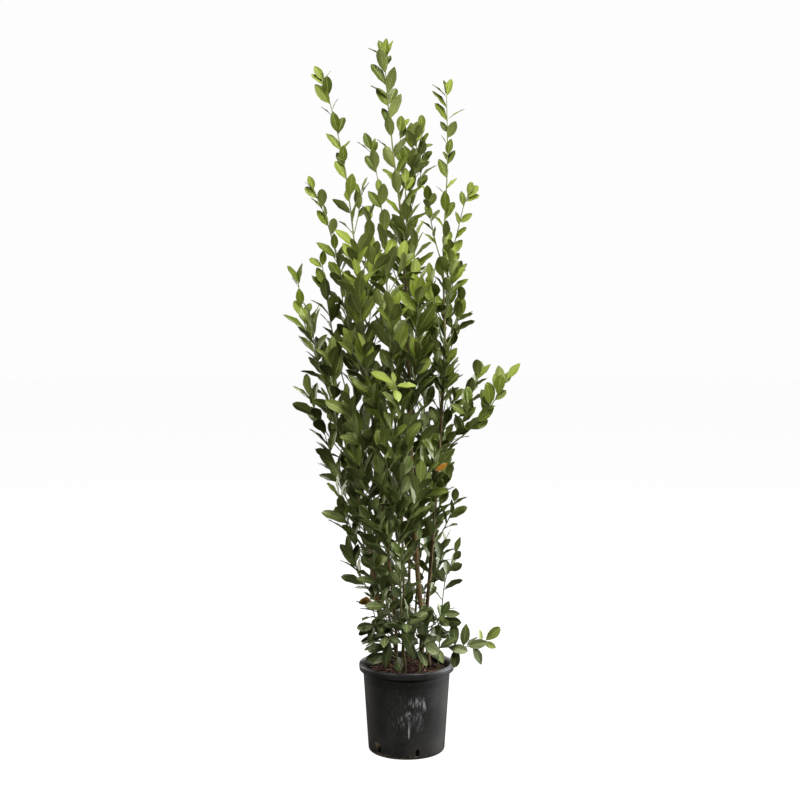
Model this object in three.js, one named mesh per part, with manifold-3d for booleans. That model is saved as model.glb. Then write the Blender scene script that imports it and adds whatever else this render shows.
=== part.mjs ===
// A bay laurel bush: upright leafy stems that rise together from the soil of a round nursery pot.
// Millimetres, +Z up. The origin is the centre of the pot's base, on the surface it stands on.
// -Y is the front.

import * as THREE from "three";
import { mergeVertices } from "three/addons/utils/BufferGeometryUtils.js";
import Module from "manifold-3d";

const wasm = await Module();
wasm.setup();

// ---- Driving dimensions ----

const POT = {
  height: 240,
  rimRadius: 130,
  wallTopRadius: 120, // outside, where the wall meets the rim
  baseRadius: 104.5, // outside, where the wall meets the corner
  cornerRadius: 7,
  wall: 2,
  lipDrop: 18, // how far the rolled lip hangs down outside the wall
  lipWall: 3,
  lipRound: 4,
  lipTuck: 1, // how far the lip's lower edge stands back
  sides: 28,
};
const SLOT = { count: 6, width: 12, height: 20, bottom: 9, firstAngle: -74 }; // drainage slots round the foot
const SOIL = { top: 218, edgeDrop: 3, mound: 7, lump: 1.5, gap: 0.3, rings: [0.8, 0.5, 0.25] };

const BURIED = 70; // how deep a stem goes below the soil's surface
const COLLAR = 16; // how far a stem stays straight above it
const HOLE_GAP = 0.4; // between a stem's flats and its hole in the soil
const TIP_RADIUS = 1.1;
const STEM_SIDES = 4;
const SHOOT_SIDES = 3;
const STEM_STEP = 160; // length of one straight piece of a stem
const SHOOT_STEP = 90;

const BLADE = {
  thickness: 0.8,
  // A blade's width: this share of its length, or the sum of the other two for a long leaf.
  widthShare: 0.46,
  widthFrom: 20,
  widthPerLength: 0.12,
  // The outline's corners from root to tip: share of the length, share of the half width.
  corners: [
    [0, 0],
    [0.36, 1],
    [0.7, 0.86],
    [1, 0],
  ],
};

// A leaf on every node of a stem, two fifths of a turn apart or so, and crowded at the tip.
const TURN = 137.5;
const STEM_SPACING = 27;
const SHOOT_SPACING = 21;
const TIP_SPACING = 9;
const CROWDING = 2.5; // what each node adds to the spacing, down from the tip
const BUD = 7; // the bare end of an axis
const SHOOT_BARE = 0.3; // share of a shoot that has no leaves, next to its stem
const TOP = 420; // the length below a tip where leaves stand steeper
const SHADE_TOP = 520; // leaves lower than this spread wider
const SHADE_DEPTH = 250; // and widest this far below it
const LEAF_EVERY = 4; // the nodes from one leaf to the next in the top of a stem
const LOW_LEAF_EVERY = 8; // and further down

// How a leaf stands and how large it is, from the youngest at a tip to the fourth and all below it. Degrees.
const LEAF = {
  grownAt: 4, // nodes from the tip
  lift: { young: 12, grown: 22, low: 8, shade: 52, chance: 9 }, // off its stem; low and shade add to it
  roll: 70, // either way, about its own length
  size: { young: 0.75, grown: 1, least: 0.87, most: 1.12 },
  // What the height on the plant does to the size, as [height, factor].
  sizeAtHeight: [
    [250, 0.95],
    [600, 1.1],
    [1250, 1.1],
    [1500, 0.88],
  ],
  arch: { young: 6, grown: 14, shade: 12, chance: 18 },
  setArch: 20,
  turnChance: 14,
  spacingChance: 0.15,
  skyward: 0.6, // how much its face turns from its stem to the sky
};

// Each stem: its foot in the soil as [x, y], then its way up as [x, y, z], and its side shoots, each as
// [height where it leaves the stem, x, y, z of its tip]. leafFrom is the length of the bare foot of the stem,
// radius is at the soil, and leaf is the length of a full leaf.
const STEMS = [
  {
    name: "stem_far_left",
    radius: 4.2,
    leafFrom: 100,
    leaf: 74,
    way: [
      [-45, -20],
      [-72, -28, 356],
      [-116, -30, 620],
      [-168, -20, 850],
      [-238, -10, 1055],
      [-278, -5, 1175],
      [-293, 0, 1280],
    ],
    shoots: [
      [330, -98, -50, 428],
      [420, -148, -35, 545],
      [540, -182, -50, 710],
      [690, -222, -15, 868],
      [800, -262, -40, 975],
      [900, -200, -105, 1080],
      [990, -255, -70, 1180],
    ],
  },
  {
    name: "stem_left",
    radius: 4.6,
    leafFrom: 150,
    leaf: 68,
    way: [
      [-52, 35],
      [-78, 50, 411],
      [-118, 60, 680],
      [-145, 60, 985],
      [-162, 50, 1202],
      [-209, 35, 1417],
      [-252, 20, 1530],
    ],
    shoots: [
      [400, -108, 75, 535],
      [600, -150, 125, 790],
      [900, -230, 45, 1325],
      [960, -165, 150, 1190],
      [1140, -192, 95, 1355],
    ],
  },
  {
    name: "stem_left_tall",
    radius: 4.8,
    leafFrom: 60,
    leaf: 76,
    way: [
      [-28, -40],
      [-30, -45, 356],
      [-55, -50, 590],
      [-90, -45, 890],
      [-113, -40, 1121],
      [-138, -35, 1365],
      [-165, -30, 1577],
      [-200, -25, 1735],
      [-224, -20, 1818],
    ],
    shoots: [
      [280, -82, -75, 342],
      [330, -80, -95, 430],
      [520, -105, -110, 650],
      [760, -155, -125, 955],
      [880, -110, -150, 1095],
      [1060, -128, -120, 1285],
      [1250, -98, -25, 1455],
      [1400, -122, 5, 1525],
    ],
  },
  {
    name: "stem_middle_front",
    radius: 4,
    leafFrom: 90,
    leaf: 80,
    way: [
      [-12, -5],
      [-8, -25, 411],
      [-15, -60, 680],
      [-35, -85, 958],
      [-50, -80, 1215],
      [-62, -60, 1417],
      [-81, -40, 1570],
      [-99, -30, 1635],
    ],
    shoots: [
      [480, -50, -120, 610],
      [740, -40, -160, 900],
      [860, -98, -150, 1010],
      [1000, -35, -150, 1200],
    ],
  },
  {
    name: "stem_tallest",
    radius: 8.5,
    leafFrom: 330,
    leaf: 84,
    way: [
      [38, -8],
      [44, -5, 356],
      [33, 0, 450],
      [17, 0, 686],
      [10, 0, 900],
      [0, 0, 1202],
      [-13, 0, 1430],
      [-37, 0, 1630],
      [-53, 0, 1789],
      [-60, 0, 1882],
    ],
    shoots: [
      [620, 50, -105, 790],
      [880, 25, -115, 1100],
      [1080, 22, -55, 1290],
      [1330, 0, -30, 1465],
    ],
  },
  {
    name: "stem_middle_back",
    radius: 4.6,
    leafFrom: 230,
    leaf: 74,
    way: [
      [5, 50],
      [8, 60, 500],
      [12, 70, 900],
      [5, 60, 1202],
      [2, 50, 1417],
      [12, 40, 1577],
      [18, 35, 1690],
    ],
    shoots: [
      [460, -35, 110, 620],
      [600, -5, 130, 790],
      [980, -50, 140, 1225],
      [1200, -15, 95, 1395],
      [1480, -20, 25, 1700],
      [1520, 44, 30, 1698],
    ],
  },
  {
    name: "stem_right_tall",
    radius: 6.2,
    leafFrom: 300,
    leaf: 60,
    way: [
      [62, 14],
      [54, 18, 342],
      [63, 20, 467],
      [82, 20, 713],
      [99, 15, 986],
      [104, 10, 1121],
      [99, 5, 1337],
      [109, 0, 1590],
      [107, 0, 1782],
    ],
    shoots: [
      [320, 104, -45, 375],
      [450, 104, -35, 580],
      [560, 130, -35, 690],
      [690, 72, -115, 850],
      [815, 272, -25, 1020],
      [850, 194, 15, 1020],
      [1100, 66, -75, 1290],
      [1180, 124, -35, 1345],
    ],
  },
  {
    name: "stem_right",
    radius: 4.6,
    leafFrom: 200,
    leaf: 60,
    way: [
      [40, 62],
      [62, 75, 420],
      [80, 85, 686],
      [97, 85, 960],
      [108, 75, 1175],
      [114, 60, 1310],
      [140, 50, 1420],
      [157, 45, 1490],
      [178, 40, 1535],
    ],
    shoots: [
      [400, 96, 80, 515],
      [700, 112, 110, 855],
      [1040, 148, 20, 1230],
      [1200, 134, 15, 1340],
    ],
  },
  {
    name: "stem_back_left",
    radius: 4,
    leafFrom: 120,
    leaf: 76,
    way: [
      [-25, 75],
      [-60, 95, 420],
      [-95, 120, 720],
      [-110, 130, 960],
      [-105, 125, 1150],
      [-85, 110, 1320],
    ],
    shoots: [
      [400, -60, 150, 560],
      [680, -155, 165, 870],
      [860, -60, 185, 1050],
    ],
  },
  {
    name: "stem_back_right",
    radius: 4,
    leafFrom: 120,
    leaf: 76,
    way: [
      [15, 88],
      [30, 110, 420],
      [44, 130, 720],
      [52, 135, 960],
      [62, 120, 1225],
    ],
    shoots: [
      [420, 70, 150, 570],
      [700, 88, 175, 880],
      [880, 10, 185, 1070],
    ],
  },
  {
    name: "stem_front",
    radius: 3.4,
    leafFrom: 45,
    leaf: 72,
    way: [
      [-2, -72],
      [-15, -95, 400],
      [-20, -120, 650],
      [-8, -132, 850],
      [-31, -145, 1010],
    ],
    shoots: [
      [262, -48, -108, 312],
      [275, 52, -112, 330],
      [300, -8, -150, 390],
      [330, -50, -115, 420],
      [440, -12, -150, 570],
      [600, 36, -165, 760],
      [700, -62, -175, 850],
    ],
  },
  {
    name: "stem_low_right",
    leafEvery: 2,
    radius: 2.4,
    leafFrom: 110,
    leaf: 54,
    way: [
      [84, -20],
      [93, -25, 350],
      [104, -28, 467],
      [134, -30, 550],
    ],
    shoots: [],
  },
  {
    name: "stem_trailing",
    radius: 2.6,
    leafFrom: Infinity,
    leaf: 68,
    way: [
      [32, -80],
      [38, -82, 262],
      [66, -80, 293],
      [116, -75, 300],
      [165, -72, 300],
      [212, -70, 315],
    ],
    shoots: [],
  },
];

// Leaves that are set by hand, under the name of their stem, or of their stem and the height where their
// shoot leaves it. Each is [length from the tip, lean to the right of upright, lean to the front, turn of the
// face away from the front, length], with the angles in degrees. Other leaves begin below the lowest of them.
const SET_LEAVES = {
  stem_far_left: [
    [10, -24, 5, 62, 60],
    [12, 3, 0, -56, 62],
    [70, -5, 20, 5, 52],
    [100, -25, 5, 20, 52],
    [102, 25, 5, -20, 46],
  ],
  stem_left: [
    [4, -20, 5, 10, 42],
    [30, -45, 5, 15, 48],
    [58, 2, 18, 178, 56],
    [118, -31, 5, 30, 56],
    [140, 12, 10, 178, 50],
    [178, -2, 15, 10, 48],
  ],
  "stem_left 900": [
    [4, 4, 10, 5, 46],
    [8, -50, 5, 35, 46],
    [56, -22, 5, 15, 56],
  ],
  stem_left_tall: [
    [8, -30, 5, 15, 47],
    [24, -44, 5, 50, 50],
    [52, -3, 25, 5, 54],
    [80, -37, 10, 5, 68],
    [155, -11, 20, 10, 60],
    [205, -35, 0, 42, 66],
    [236, -3, 25, -10, 50],
    [282, -27, 5, 30, 60],
    [328, 9, 20, 0, 65],
  ],
  stem_middle_front: [
    [10, -18, 10, 10, 50],
    [74, -8, 20, 175, 62],
    [82, -28, 0, 25, 58],
    [168, 8, 20, 178, 66],
    [174, -35, 5, 15, 60],
    [245, 3, 20, 175, 76],
  ],
  stem_tallest: [
    [8, 2, 8, -30, 54],
    [16, 16, 5, -58, 60],
    [10, -49, 0, 84, 54],
    [52, -13, 12, 168, 70],
    [88, -30, 0, 35, 75],
    [110, 15, 15, -172, 77],
    [142, -29, 5, 25, 62],
    [172, 21, 5, -150, 75],
    [222, -10, 20, 175, 64],
  ],
  stem_middle_back: [
    [22, -7, 0, 0, 44],
    [52, 12, 10, 175, 76],
    [54, -8, 15, 0, 66],
    [106, -16, 10, 10, 66],
    [112, 8, 20, 175, 68],
    [172, 7, 12, 0, 70],
    [208, 15, 15, 175, 52],
  ],
  "stem_middle_back 1480": [
    [20, 5, 5, 0, 48],
    [22, 25, 0, -50, 50],
    [105, -14, 10, 5, 60],
  ],
  "stem_middle_back 1520": [
    [12, -4, 10, 0, 44],
  ],
  stem_right_tall: [
    [10, 11, 8, -30, 50],
    [42, -33, 0, 60, 64],
    [72, 51, 0, -82, 58],
    [76, -29, 8, 45, 59],
    [122, 25, 15, -172, 54],
    [172, 11, 10, -12, 47],
    [198, 23, 0, -35, 46],
    [233, -19, 5, 25, 58],
    [318, -1, 20, 0, 61],
  ],
  "stem_right_tall 815": [
    [6, 34, 10, -40, 58],
    [20, 25, -15, -10, 42],
    [56, 9, 15, 0, 58],
    [72, 46, 10, -20, 43],
    [90, -8, 15, 10, 60],
    [150, 43, 12, -10, 68],
    [176, 60, 10, -15, 56],
    [202, -17, 5, 15, 58],
  ],
  "stem_right_tall 850": [
    [2, -3, 12, 172, 55],
    [6, 36, 0, -52, 56],
  ],
  stem_right: [
    [26, 16, 8, 0, 40],
    [34, 40, 5, -20, 48],
    [58, -6, 5, 20, 44],
    [104, 52, 5, -8, 44],
    [150, 36, 0, -50, 46],
    [192, 34, 5, -15, 52],
    [226, 34, 5, -20, 50],
  ],
  stem_front: [
    [3, -58, 14, 50, 72],
    [7, 84, 18, -60, 58],
    [16, 165, 53, -17, 46],
    [1, -11, -6, 19, 32],
    [28, -33, -20, 27, 50],
  ],
  stem_trailing: [
    [2, 46, 9, 1, 56],
    [7, 112, 17, -15, 38],
    [14, 1, -10, 40, 36],
    [36, 152, 17, -30, 56],
    [52, 72, 16, -28, 60],
    [62, 8, 7, 7, 64],
    [80, -173, 19, 8, 56],
    [84, -4, -5, -14, 60],
    [104, 93, 24, -38, 58],
    [124, 55, 13, -48, 58],
    [128, 156, 40, -12, 46],
    [150, 114, 58, -58, 46],
    [52, 48, -43, -74, 50],
    [98, 135, -67, -139, 50],
  ],
};
const BELOW_SET_LEAVES = 14; // how far below

// ---- Chance: the same draws on every run ----

const DRAW_MODULUS = 2147483647;
let drawState = 4711;

function draw(low, high) {
  drawState = (drawState * 16807) % DRAW_MODULUS;
  return low + ((high - low) * drawState) / DRAW_MODULUS;
}

// ---- The way each stem and shoot runs ----

const radians = (degrees) => (degrees * Math.PI) / 180;
const between = (share, from, to) => from + share * (to - from);
const clamped = (value) => Math.min(1, Math.max(0, value));
const UP = new THREE.Vector3(0, 0, 1);
const BACK = new THREE.Vector3(0, 1, 0);

// The value at a place in a table of [place, value], with straight lines between its rows.
function valueAt(table, place) {
  let i = 1;
  while (i < table.length - 1 && table[i][0] < place) i += 1;
  const [[start, startValue], [end, endValue]] = [table[i - 1], table[i]];
  return between(clamped((place - start) / (end - start)), startValue, endValue);
}

// The point at a length along a line of straight pieces, and the direction there.
function along(axis, length) {
  let i = 1;
  while (i < axis.points.length - 1 && axis.lengths[i] < length) i += 1;
  const from = axis.points[i - 1];
  const way = axis.points[i].clone().sub(from);
  const share = (length - axis.lengths[i - 1]) / way.length();
  return { at: from.clone().addScaledVector(way, share), direction: way.normalize() };
}

function makeAxis(name, points, rootRadius, leafFrom, spacing, leaf) {
  const lengths = [0];
  for (let i = 1; i < points.length; i += 1) {
    lengths.push(lengths[i - 1] + points[i].distanceTo(points[i - 1]));
  }
  const length = lengths.at(-1);
  const radii = lengths.map((l) => rootRadius + ((TIP_RADIUS - rootRadius) * l) / length);
  const setLeaves = SET_LEAVES[name] ?? [];
  const setReach = Math.max(...setLeaves.map(([fromTip]) => fromTip + BELOW_SET_LEAVES), 0);
  return { name, points, lengths, length, radii, leafFrom, spacing, leaf, setLeaves, setReach };
}

function stemAxis(stem) {
  const [[footX, footY], ...above] = stem.way;
  const next = new THREE.Vector3(...above[0]);
  const foot = new THREE.Vector3(footX, footY, SOIL.top);
  const lean = next.clone().sub(foot);
  lean.divideScalar(lean.z);
  const collar = foot.clone().addScaledVector(lean, COLLAR);
  const route = [collar, ...above.map((point) => new THREE.Vector3(...point))];
  const curve = new THREE.CatmullRomCurve3(route, false, "catmullrom", 0.5);
  const pieces = Math.round((above.at(-1)[2] - SOIL.top) / STEM_STEP) + 2;
  const points = [foot.addScaledVector(lean, -BURIED)];
  for (let i = 0; i <= pieces; i += 1) points.push(curve.getPoint(i / pieces));
  const axis = makeAxis(stem.name, points, stem.radius, BURIED + stem.leafFrom, STEM_SPACING, stem.leaf);
  return { ...axis, leafEvery: stem.leafEvery };
}

// A shoot leaves its stem outwards and then turns up towards its tip.
const SHOOT_TURN = { out: 0.65, up: 0.35 };
const SHOOT_RADIUS = { least: 1.4, perLength: 0.003, mostOfStem: 0.75 };
const SHOOT_LEAF = 0.95; // against its stem's leaves

function shootAxis(parent, [height, ...tip], leaf) {
  let i = 1;
  while (i < parent.points.length - 1 && parent.points[i].z < height) i += 1;
  const rise = (height - parent.points[i - 1].z) / (parent.points[i].z - parent.points[i - 1].z);
  const root = parent.points[i - 1].clone().lerp(parent.points[i], rise);
  const end = new THREE.Vector3(...tip);
  const reach = end.clone().sub(root);
  const { out, up } = SHOOT_TURN;
  const turn = root.clone().add(new THREE.Vector3(out * reach.x, out * reach.y, up * reach.z));
  const curve = new THREE.QuadraticBezierCurve3(root, turn, end);
  const pieces = Math.max(3, Math.round(reach.length() / SHOOT_STEP));
  const { least, perLength, mostOfStem } = SHOOT_RADIUS;
  const radius = Math.min(least + perLength * reach.length(), mostOfStem * parent.radii[i]);
  const points = [];
  for (let k = 0; k <= pieces; k += 1) points.push(curve.getPoint(k / pieces));
  const name = `${parent.name} ${height}`;
  return makeAxis(name, points, radius, SHOOT_BARE * reach.length(), SHOOT_SPACING, SHOOT_LEAF * leaf);
}

const plants = STEMS.map((stem) => {
  const main = stemAxis(stem);
  return { stem, axes: [main, ...stem.shoots.map((shoot) => shootAxis(main, shoot, stem.leaf))] };
});
const allAxes = plants.flatMap((plant) => plant.axes);
allAxes.forEach((axis, i) => {
  axis.id = i + 1;
  axis.startAngle = draw(0, 360);
});

// ---- Room: which small cubes of space are taken, so that no leaf grows through a stem or another leaf ----

const CUBE = 6;
const CUBES_ACROSS = 1000;
const SAMPLE = 3;
const taken = new Map();

const cubeNumber = (x, y, z) => (x * CUBES_ACROSS + y) * CUBES_ACROSS + z;

function cubeOf(point) {
  return cubeNumber(...point.toArray().map((v) => Math.floor(v / CUBE) + CUBES_ACROSS / 2));
}

function take(points, owner) {
  const steps = [-1, 0, 1];
  const own = new Set(points.map((p) => cubeOf(p)));
  for (const cube of own)
    for (const dx of steps)
      for (const dy of steps)
        for (const dz of steps) {
          const near = cube + cubeNumber(dx, dy, dz);
          if (!taken.has(near)) taken.set(near, owner);
        }
}

// Owners: 2 * id is the axis itself and 2 * id + 1 is a leaf on it.
for (const axis of allAxes) {
  const points = [];
  for (let l = 0; l <= axis.length; l += SAMPLE) {
    const { at, direction } = along(axis, l);
    const side = direction.clone().cross(BACK).normalize();
    const front = direction.clone().cross(side);
    const radius = axis.radii[0] + ((TIP_RADIUS - axis.radii[0]) * l) / axis.length;
    points.push(at);
    for (const s of [-radius, radius]) {
      points.push(at.clone().addScaledVector(side, s), at.clone().addScaledVector(front, s));
    }
  }
  take(points, 2 * axis.id);
}

// ---- Leaves ----

// How far a blade has run in its first direction, and bent away from it, at a share of its length.
function bend(leaf, share) {
  const angle = leaf.arch * share;
  return [(leaf.length * Math.sin(angle)) / leaf.arch, (leaf.length * (1 - Math.cos(angle))) / leaf.arch];
}

function halfWidth(leaf, share) {
  return (leaf.width / 2) * valueAt(BLADE.corners, share);
}

function pointOn(leaf, share, across) {
  const [run, drop] = bend(leaf, share);
  const middle = leaf.root.clone().addScaledVector(leaf.forward, run).addScaledVector(leaf.face, -drop);
  return middle.addScaledVector(leaf.side, across);
}

function leafAt(root, forward, face, length, arch) {
  const width = Math.min(BLADE.widthShare * length, BLADE.widthFrom + BLADE.widthPerLength * length);
  return { root, forward, face, side: forward.clone().cross(face), length, width, arch: radians(arch) };
}

// The leaf at one node of an axis: angle round it, lift off it, and roll about its own length, in degrees.
function makeLeaf(axis, { length, angle, lift, roll, size, arch }) {
  const { at, direction } = along(axis, length);
  const u = direction.clone().cross(BACK).normalize();
  const v = direction.clone().cross(u);
  const out = u.multiplyScalar(Math.cos(radians(angle))).addScaledVector(v, Math.sin(radians(angle)));
  const forward = direction.multiplyScalar(Math.cos(radians(lift)));
  forward.addScaledVector(out, Math.sin(radians(lift)));
  const inner = out.clone().multiplyScalar(-1).addScaledVector(forward, out.dot(forward)).normalize();
  const skyward = UP.clone().addScaledVector(forward, -UP.dot(forward));
  const face = inner.addScaledVector(skyward, LEAF.skyward).normalize();
  face.applyAxisAngle(forward, radians(roll));
  return leafAt(at, forward, face, size, arch);
}

// A leaf that is set by hand on an axis.
function setLeaf(axis, [fromTip, lean, toFront, turn, size]) {
  const level = Math.cos(radians(toFront));
  const [across, up] = [Math.sin(radians(lean)) * level, Math.cos(radians(lean)) * level];
  const forward = new THREE.Vector3(across, -Math.sin(radians(toFront)), up);
  const face = forward.clone().multiplyScalar(forward.y).sub(BACK).normalize();
  face.applyAxisAngle(forward, radians(turn));
  return leafAt(along(axis, axis.length - fromTip).at, forward, face, size, LEAF.setArch);
}

function samplesOf(leaf, fromShare) {
  const rows = Math.ceil(leaf.length / SAMPLE);
  const points = [];
  for (let i = Math.ceil(fromShare * rows); i <= rows; i += 1) {
    const share = i / rows;
    const half = halfWidth(leaf, share);
    const columns = Math.max(1, Math.ceil(half / SAMPLE));
    for (let j = -columns; j <= columns; j += 1) points.push(pointOn(leaf, share, (half * j) / columns));
  }
  return points;
}

const FREE_SHARE = 0.3; // of a leaf, next to its stem, where the leaves beside it may be close
const POT_ROOM = 8;

function clearOfPot(p) {
  return p.z > POT.height + POT_ROOM || Math.hypot(p.x, p.y) > POT.rimRadius + POT_ROOM;
}

function hasRoom(leaf, axis) {
  const rootHasRoom = samplesOf(leaf, 0).every((p) => {
    const owner = taken.get(cubeOf(p));
    return (owner === undefined || owner >> 1 === axis.id) && clearOfPot(p);
  });
  if (!rootHasRoom) return false;
  return samplesOf(leaf, FREE_SHARE).every((p) => {
    const owner = taken.get(cubeOf(p));
    return owner === undefined || owner === 2 * axis.id;
  });
}

// Ways to bend a leaf clear of what is in its way: change of angle, of lift, and of size.
const DODGES = [
  [0, 0, 1],
  [25, 5, 1],
  [-25, 5, 1],
  [0, 18, 1],
  [50, 8, 0.95],
  [-50, 8, 0.95],
  [20, -12, 0.9],
  [-20, -12, 0.9],
  [90, 10, 0.85],
  [-90, 10, 0.85],
  [0, 0, 0.7],
  [60, -8, 0.7],
  [-60, -8, 0.7],
];

const chance = (most) => draw(-most, most);

// The nodes of an axis from its tip down: leaves are close, steep and small at the tip. Where the leaves are
// set by hand there are no other nodes.
function nodesOf(axis) {
  const { lift, size, arch } = LEAF;
  const nodes = [];
  let length = axis.length - BUD;
  for (let k = 0; length > axis.leafFrom; k += 1) {
    const age = clamped(k / LEAF.grownAt);
    const low = clamped((axis.length - length) / TOP);
    const { z } = along(axis, length).at;
    const shade = clamped((SHADE_TOP - z) / SHADE_DEPTH);
    const factor = axis.leaf * valueAt(LEAF.sizeAtHeight, z);
    const node = {
      k,
      length,
      angle: axis.startAngle + k * TURN + chance(LEAF.turnChance),
      lift: between(age, lift.young, lift.grown) + low * lift.low + shade * lift.shade + chance(lift.chance),
      roll: chance(LEAF.roll),
      size: factor * between(age, size.young, size.grown) * draw(size.least, size.most),
      arch: between(age, arch.young, arch.grown) + shade * arch.shade + draw(0, arch.chance),
    };
    if (axis.length - length > axis.setReach) nodes.push(node);
    length -= Math.min(axis.spacing, TIP_SPACING + CROWDING * k) * (1 + chance(LEAF.spacingChance));
  }
  return nodes;
}

function bearsLeaf(axis, { k, length }) {
  const every = axis.leafEvery ?? (axis.length - length < TOP ? LEAF_EVERY : LOW_LEAF_EVERY);
  return k % every === 0;
}

// The node's leaf, bent clear of what is in its way, or nothing where it finds no room.
function growLeaf(axis, node) {
  for (const [turn, tilt, scale] of DODGES) {
    const bent = { ...node, angle: node.angle + turn, lift: node.lift + tilt, size: scale * node.size };
    const leaf = makeLeaf(axis, bent);
    if (hasRoom(leaf, axis)) return [leaf];
  }
  return [];
}

function growLeaves(axis) {
  return nodesOf(axis).flatMap((node) => {
    const grown = bearsLeaf(axis, node) ? growLeaf(axis, node) : [];
    for (const leaf of grown) take(samplesOf(leaf, 0), 2 * axis.id + 1);
    return grown;
  });
}

for (const axis of allAxes) {
  axis.leaves = axis.setLeaves.map((row) => setLeaf(axis, row));
  for (const leaf of axis.leaves) take(samplesOf(leaf, 0), 2 * axis.id + 1);
}
for (const axis of allAxes) axis.leaves.push(...growLeaves(axis));

// ---- Solids ----

function solidOf(geometry) {
  const bare = geometry.clone();
  bare.deleteAttribute("normal");
  bare.deleteAttribute("uv");
  const merged = mergeVertices(bare, 1e-4);
  const vertProperties = merged.attributes.position.array;
  const triVerts = new Uint32Array(merged.index.array);
  return new wasm.Manifold(new wasm.Mesh({ numProp: 3, vertProperties, triVerts }));
}

function geometryOf(solid) {
  const { numProp, vertProperties, triVerts } = solid.getMesh();
  const geometry = new THREE.BufferGeometry();
  geometry.setAttribute("position", new THREE.BufferAttribute(vertProperties, numProp));
  geometry.setIndex(new THREE.BufferAttribute(triVerts, 1));
  return geometry;
}

function closedShape(vertices, triangles) {
  const geometry = new THREE.BufferGeometry().setFromPoints(vertices);
  geometry.setIndex(triangles);
  return geometry;
}

// A tapering branch through the given points, closed at both ends.
function branch(points, radii, sides) {
  const vertices = [];
  const triangles = [];
  const last = points.length - 1;
  points.forEach((point, i) => {
    const direction = points[Math.min(i + 1, last)].clone().sub(points[Math.max(i - 1, 0)]).normalize();
    const u = direction.clone().cross(BACK).normalize();
    const v = direction.clone().cross(u);
    for (let k = 0; k < sides; k += 1) {
      const angle = (2 * Math.PI * k) / sides;
      const corner = point.clone().addScaledVector(u, radii[i] * Math.cos(angle));
      vertices.push(corner.addScaledVector(v, radii[i] * Math.sin(angle)));
    }
  });
  for (let i = 0; i < last; i += 1)
    for (let k = 0; k < sides; k += 1) {
      const [a, b] = [i * sides + k, i * sides + ((k + 1) % sides)];
      triangles.push(a, b, a + sides, b, b + sides, a + sides);
    }
  for (let k = 1; k < sides - 1; k += 1) {
    triangles.push(0, k + 1, k);
    triangles.push(last * sides, last * sides + k, last * sides + k + 1);
  }
  return closedShape(vertices, triangles);
}

// A blade: its corners on two faces that are split alike, with an edge between them all round.
function blade(leaf) {
  const inner = BLADE.corners.slice(1, -1).map(([share]) => share);
  const left = inner.map((share) => [share, -halfWidth(leaf, share)]);
  const right = inner.map((share) => [share, halfWidth(leaf, share)]).reverse();
  const rim = [[0, 0], ...left, [1, 0], ...right];
  const count = rim.length;
  const cornerAt = (level) => ([share, across]) =>
    pointOn(leaf, share, across).addScaledVector(leaf.face, level * BLADE.thickness);
  const vertices = [...rim.map(cornerAt(-0.5)), ...rim.map(cornerAt(0.5))];
  const flat = [[0, 1, count - 1]];
  for (let i = 1; i < inner.length; i += 1) {
    flat.push([i, i + 1, count - i]);
    flat.push([i + 1, count - i - 1, count - i]);
  }
  flat.push([inner.length, inner.length + 1, inner.length + 2]);
  const triangles = flat.flatMap(([a, b, c]) => [a, b, c, a + count, c + count, b + count]);
  for (let a = 0; a < count; a += 1) {
    const b = (a + 1) % count;
    triangles.push(a, a + count, b, b, a + count, b + count);
  }
  return closedShape(vertices, triangles);
}

function leafyStem({ axes }) {
  const [main, ...shoots] = axes;
  const wood = [branch(main.points, main.radii, STEM_SIDES)];
  for (const shoot of shoots) wood.push(branch(shoot.points, shoot.radii, SHOOT_SIDES));
  const leaves = axes.flatMap((axis) => axis.leaves).map(blade);
  return [...wood, ...leaves].map(solidOf).reduce((whole, piece) => whole.add(piece));
}

// ---- Pot and soil ----

// A profile of [radius, height] turned about the Z axis.
function turned(profile) {
  return new THREE.LatheGeometry(profile, POT.sides).rotateX(Math.PI / 2);
}

const arc = (x, y, radius, from, to, steps) =>
  Array.from({ length: steps + 1 }, (_, i) => {
    const angle = radians(from + ((to - from) * i) / steps);
    return new THREE.Vector2(x + radius * Math.cos(angle), y + radius * Math.sin(angle));
  });

function potShell() {
  const { height, rimRadius, wallTopRadius, baseRadius, cornerRadius, wall } = POT;
  const { lipDrop, lipWall, lipRound, lipTuck } = POT;
  const profile = [
    new THREE.Vector2(0, 0),
    ...arc(baseRadius - cornerRadius, cornerRadius, cornerRadius, -90, 0, 2),
    new THREE.Vector2(wallTopRadius, height - lipWall),
    new THREE.Vector2(rimRadius - lipWall, height - lipWall),
    new THREE.Vector2(rimRadius - lipWall, height - lipDrop),
    new THREE.Vector2(rimRadius - lipTuck, height - lipDrop),
    ...arc(rimRadius - lipRound, height - lipRound, lipRound, 0, 90, 2),
    new THREE.Vector2(wallTopRadius, height),
    new THREE.Vector2(wallTopRadius - wall, height - wall),
    new THREE.Vector2(baseRadius - wall, cornerRadius),
    new THREE.Vector2(baseRadius - cornerRadius, wall),
    new THREE.Vector2(0, wall),
  ];
  return solidOf(turned(profile));
}

// A round-ended slot through the wall, pointing out along an angle.
const CUTTER_DEPTH = 40;

function slotCutter(angle) {
  const { width, height, bottom } = SLOT;
  const r = width / 2;
  const shape = new THREE.Shape();
  shape.absarc(0, bottom + height - r, r, 0, Math.PI, false);
  shape.absarc(0, bottom + r, r, Math.PI, 2 * Math.PI, false);
  const options = { depth: CUTTER_DEPTH, bevelEnabled: false, curveSegments: 3 };
  const cutter = new THREE.ExtrudeGeometry(shape, options);
  cutter.rotateX(Math.PI / 2);
  cutter.translate(0, POT.baseRadius + CUTTER_DEPTH / 2, 0);
  cutter.rotateZ(radians(angle - 90));
  return solidOf(cutter);
}

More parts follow.
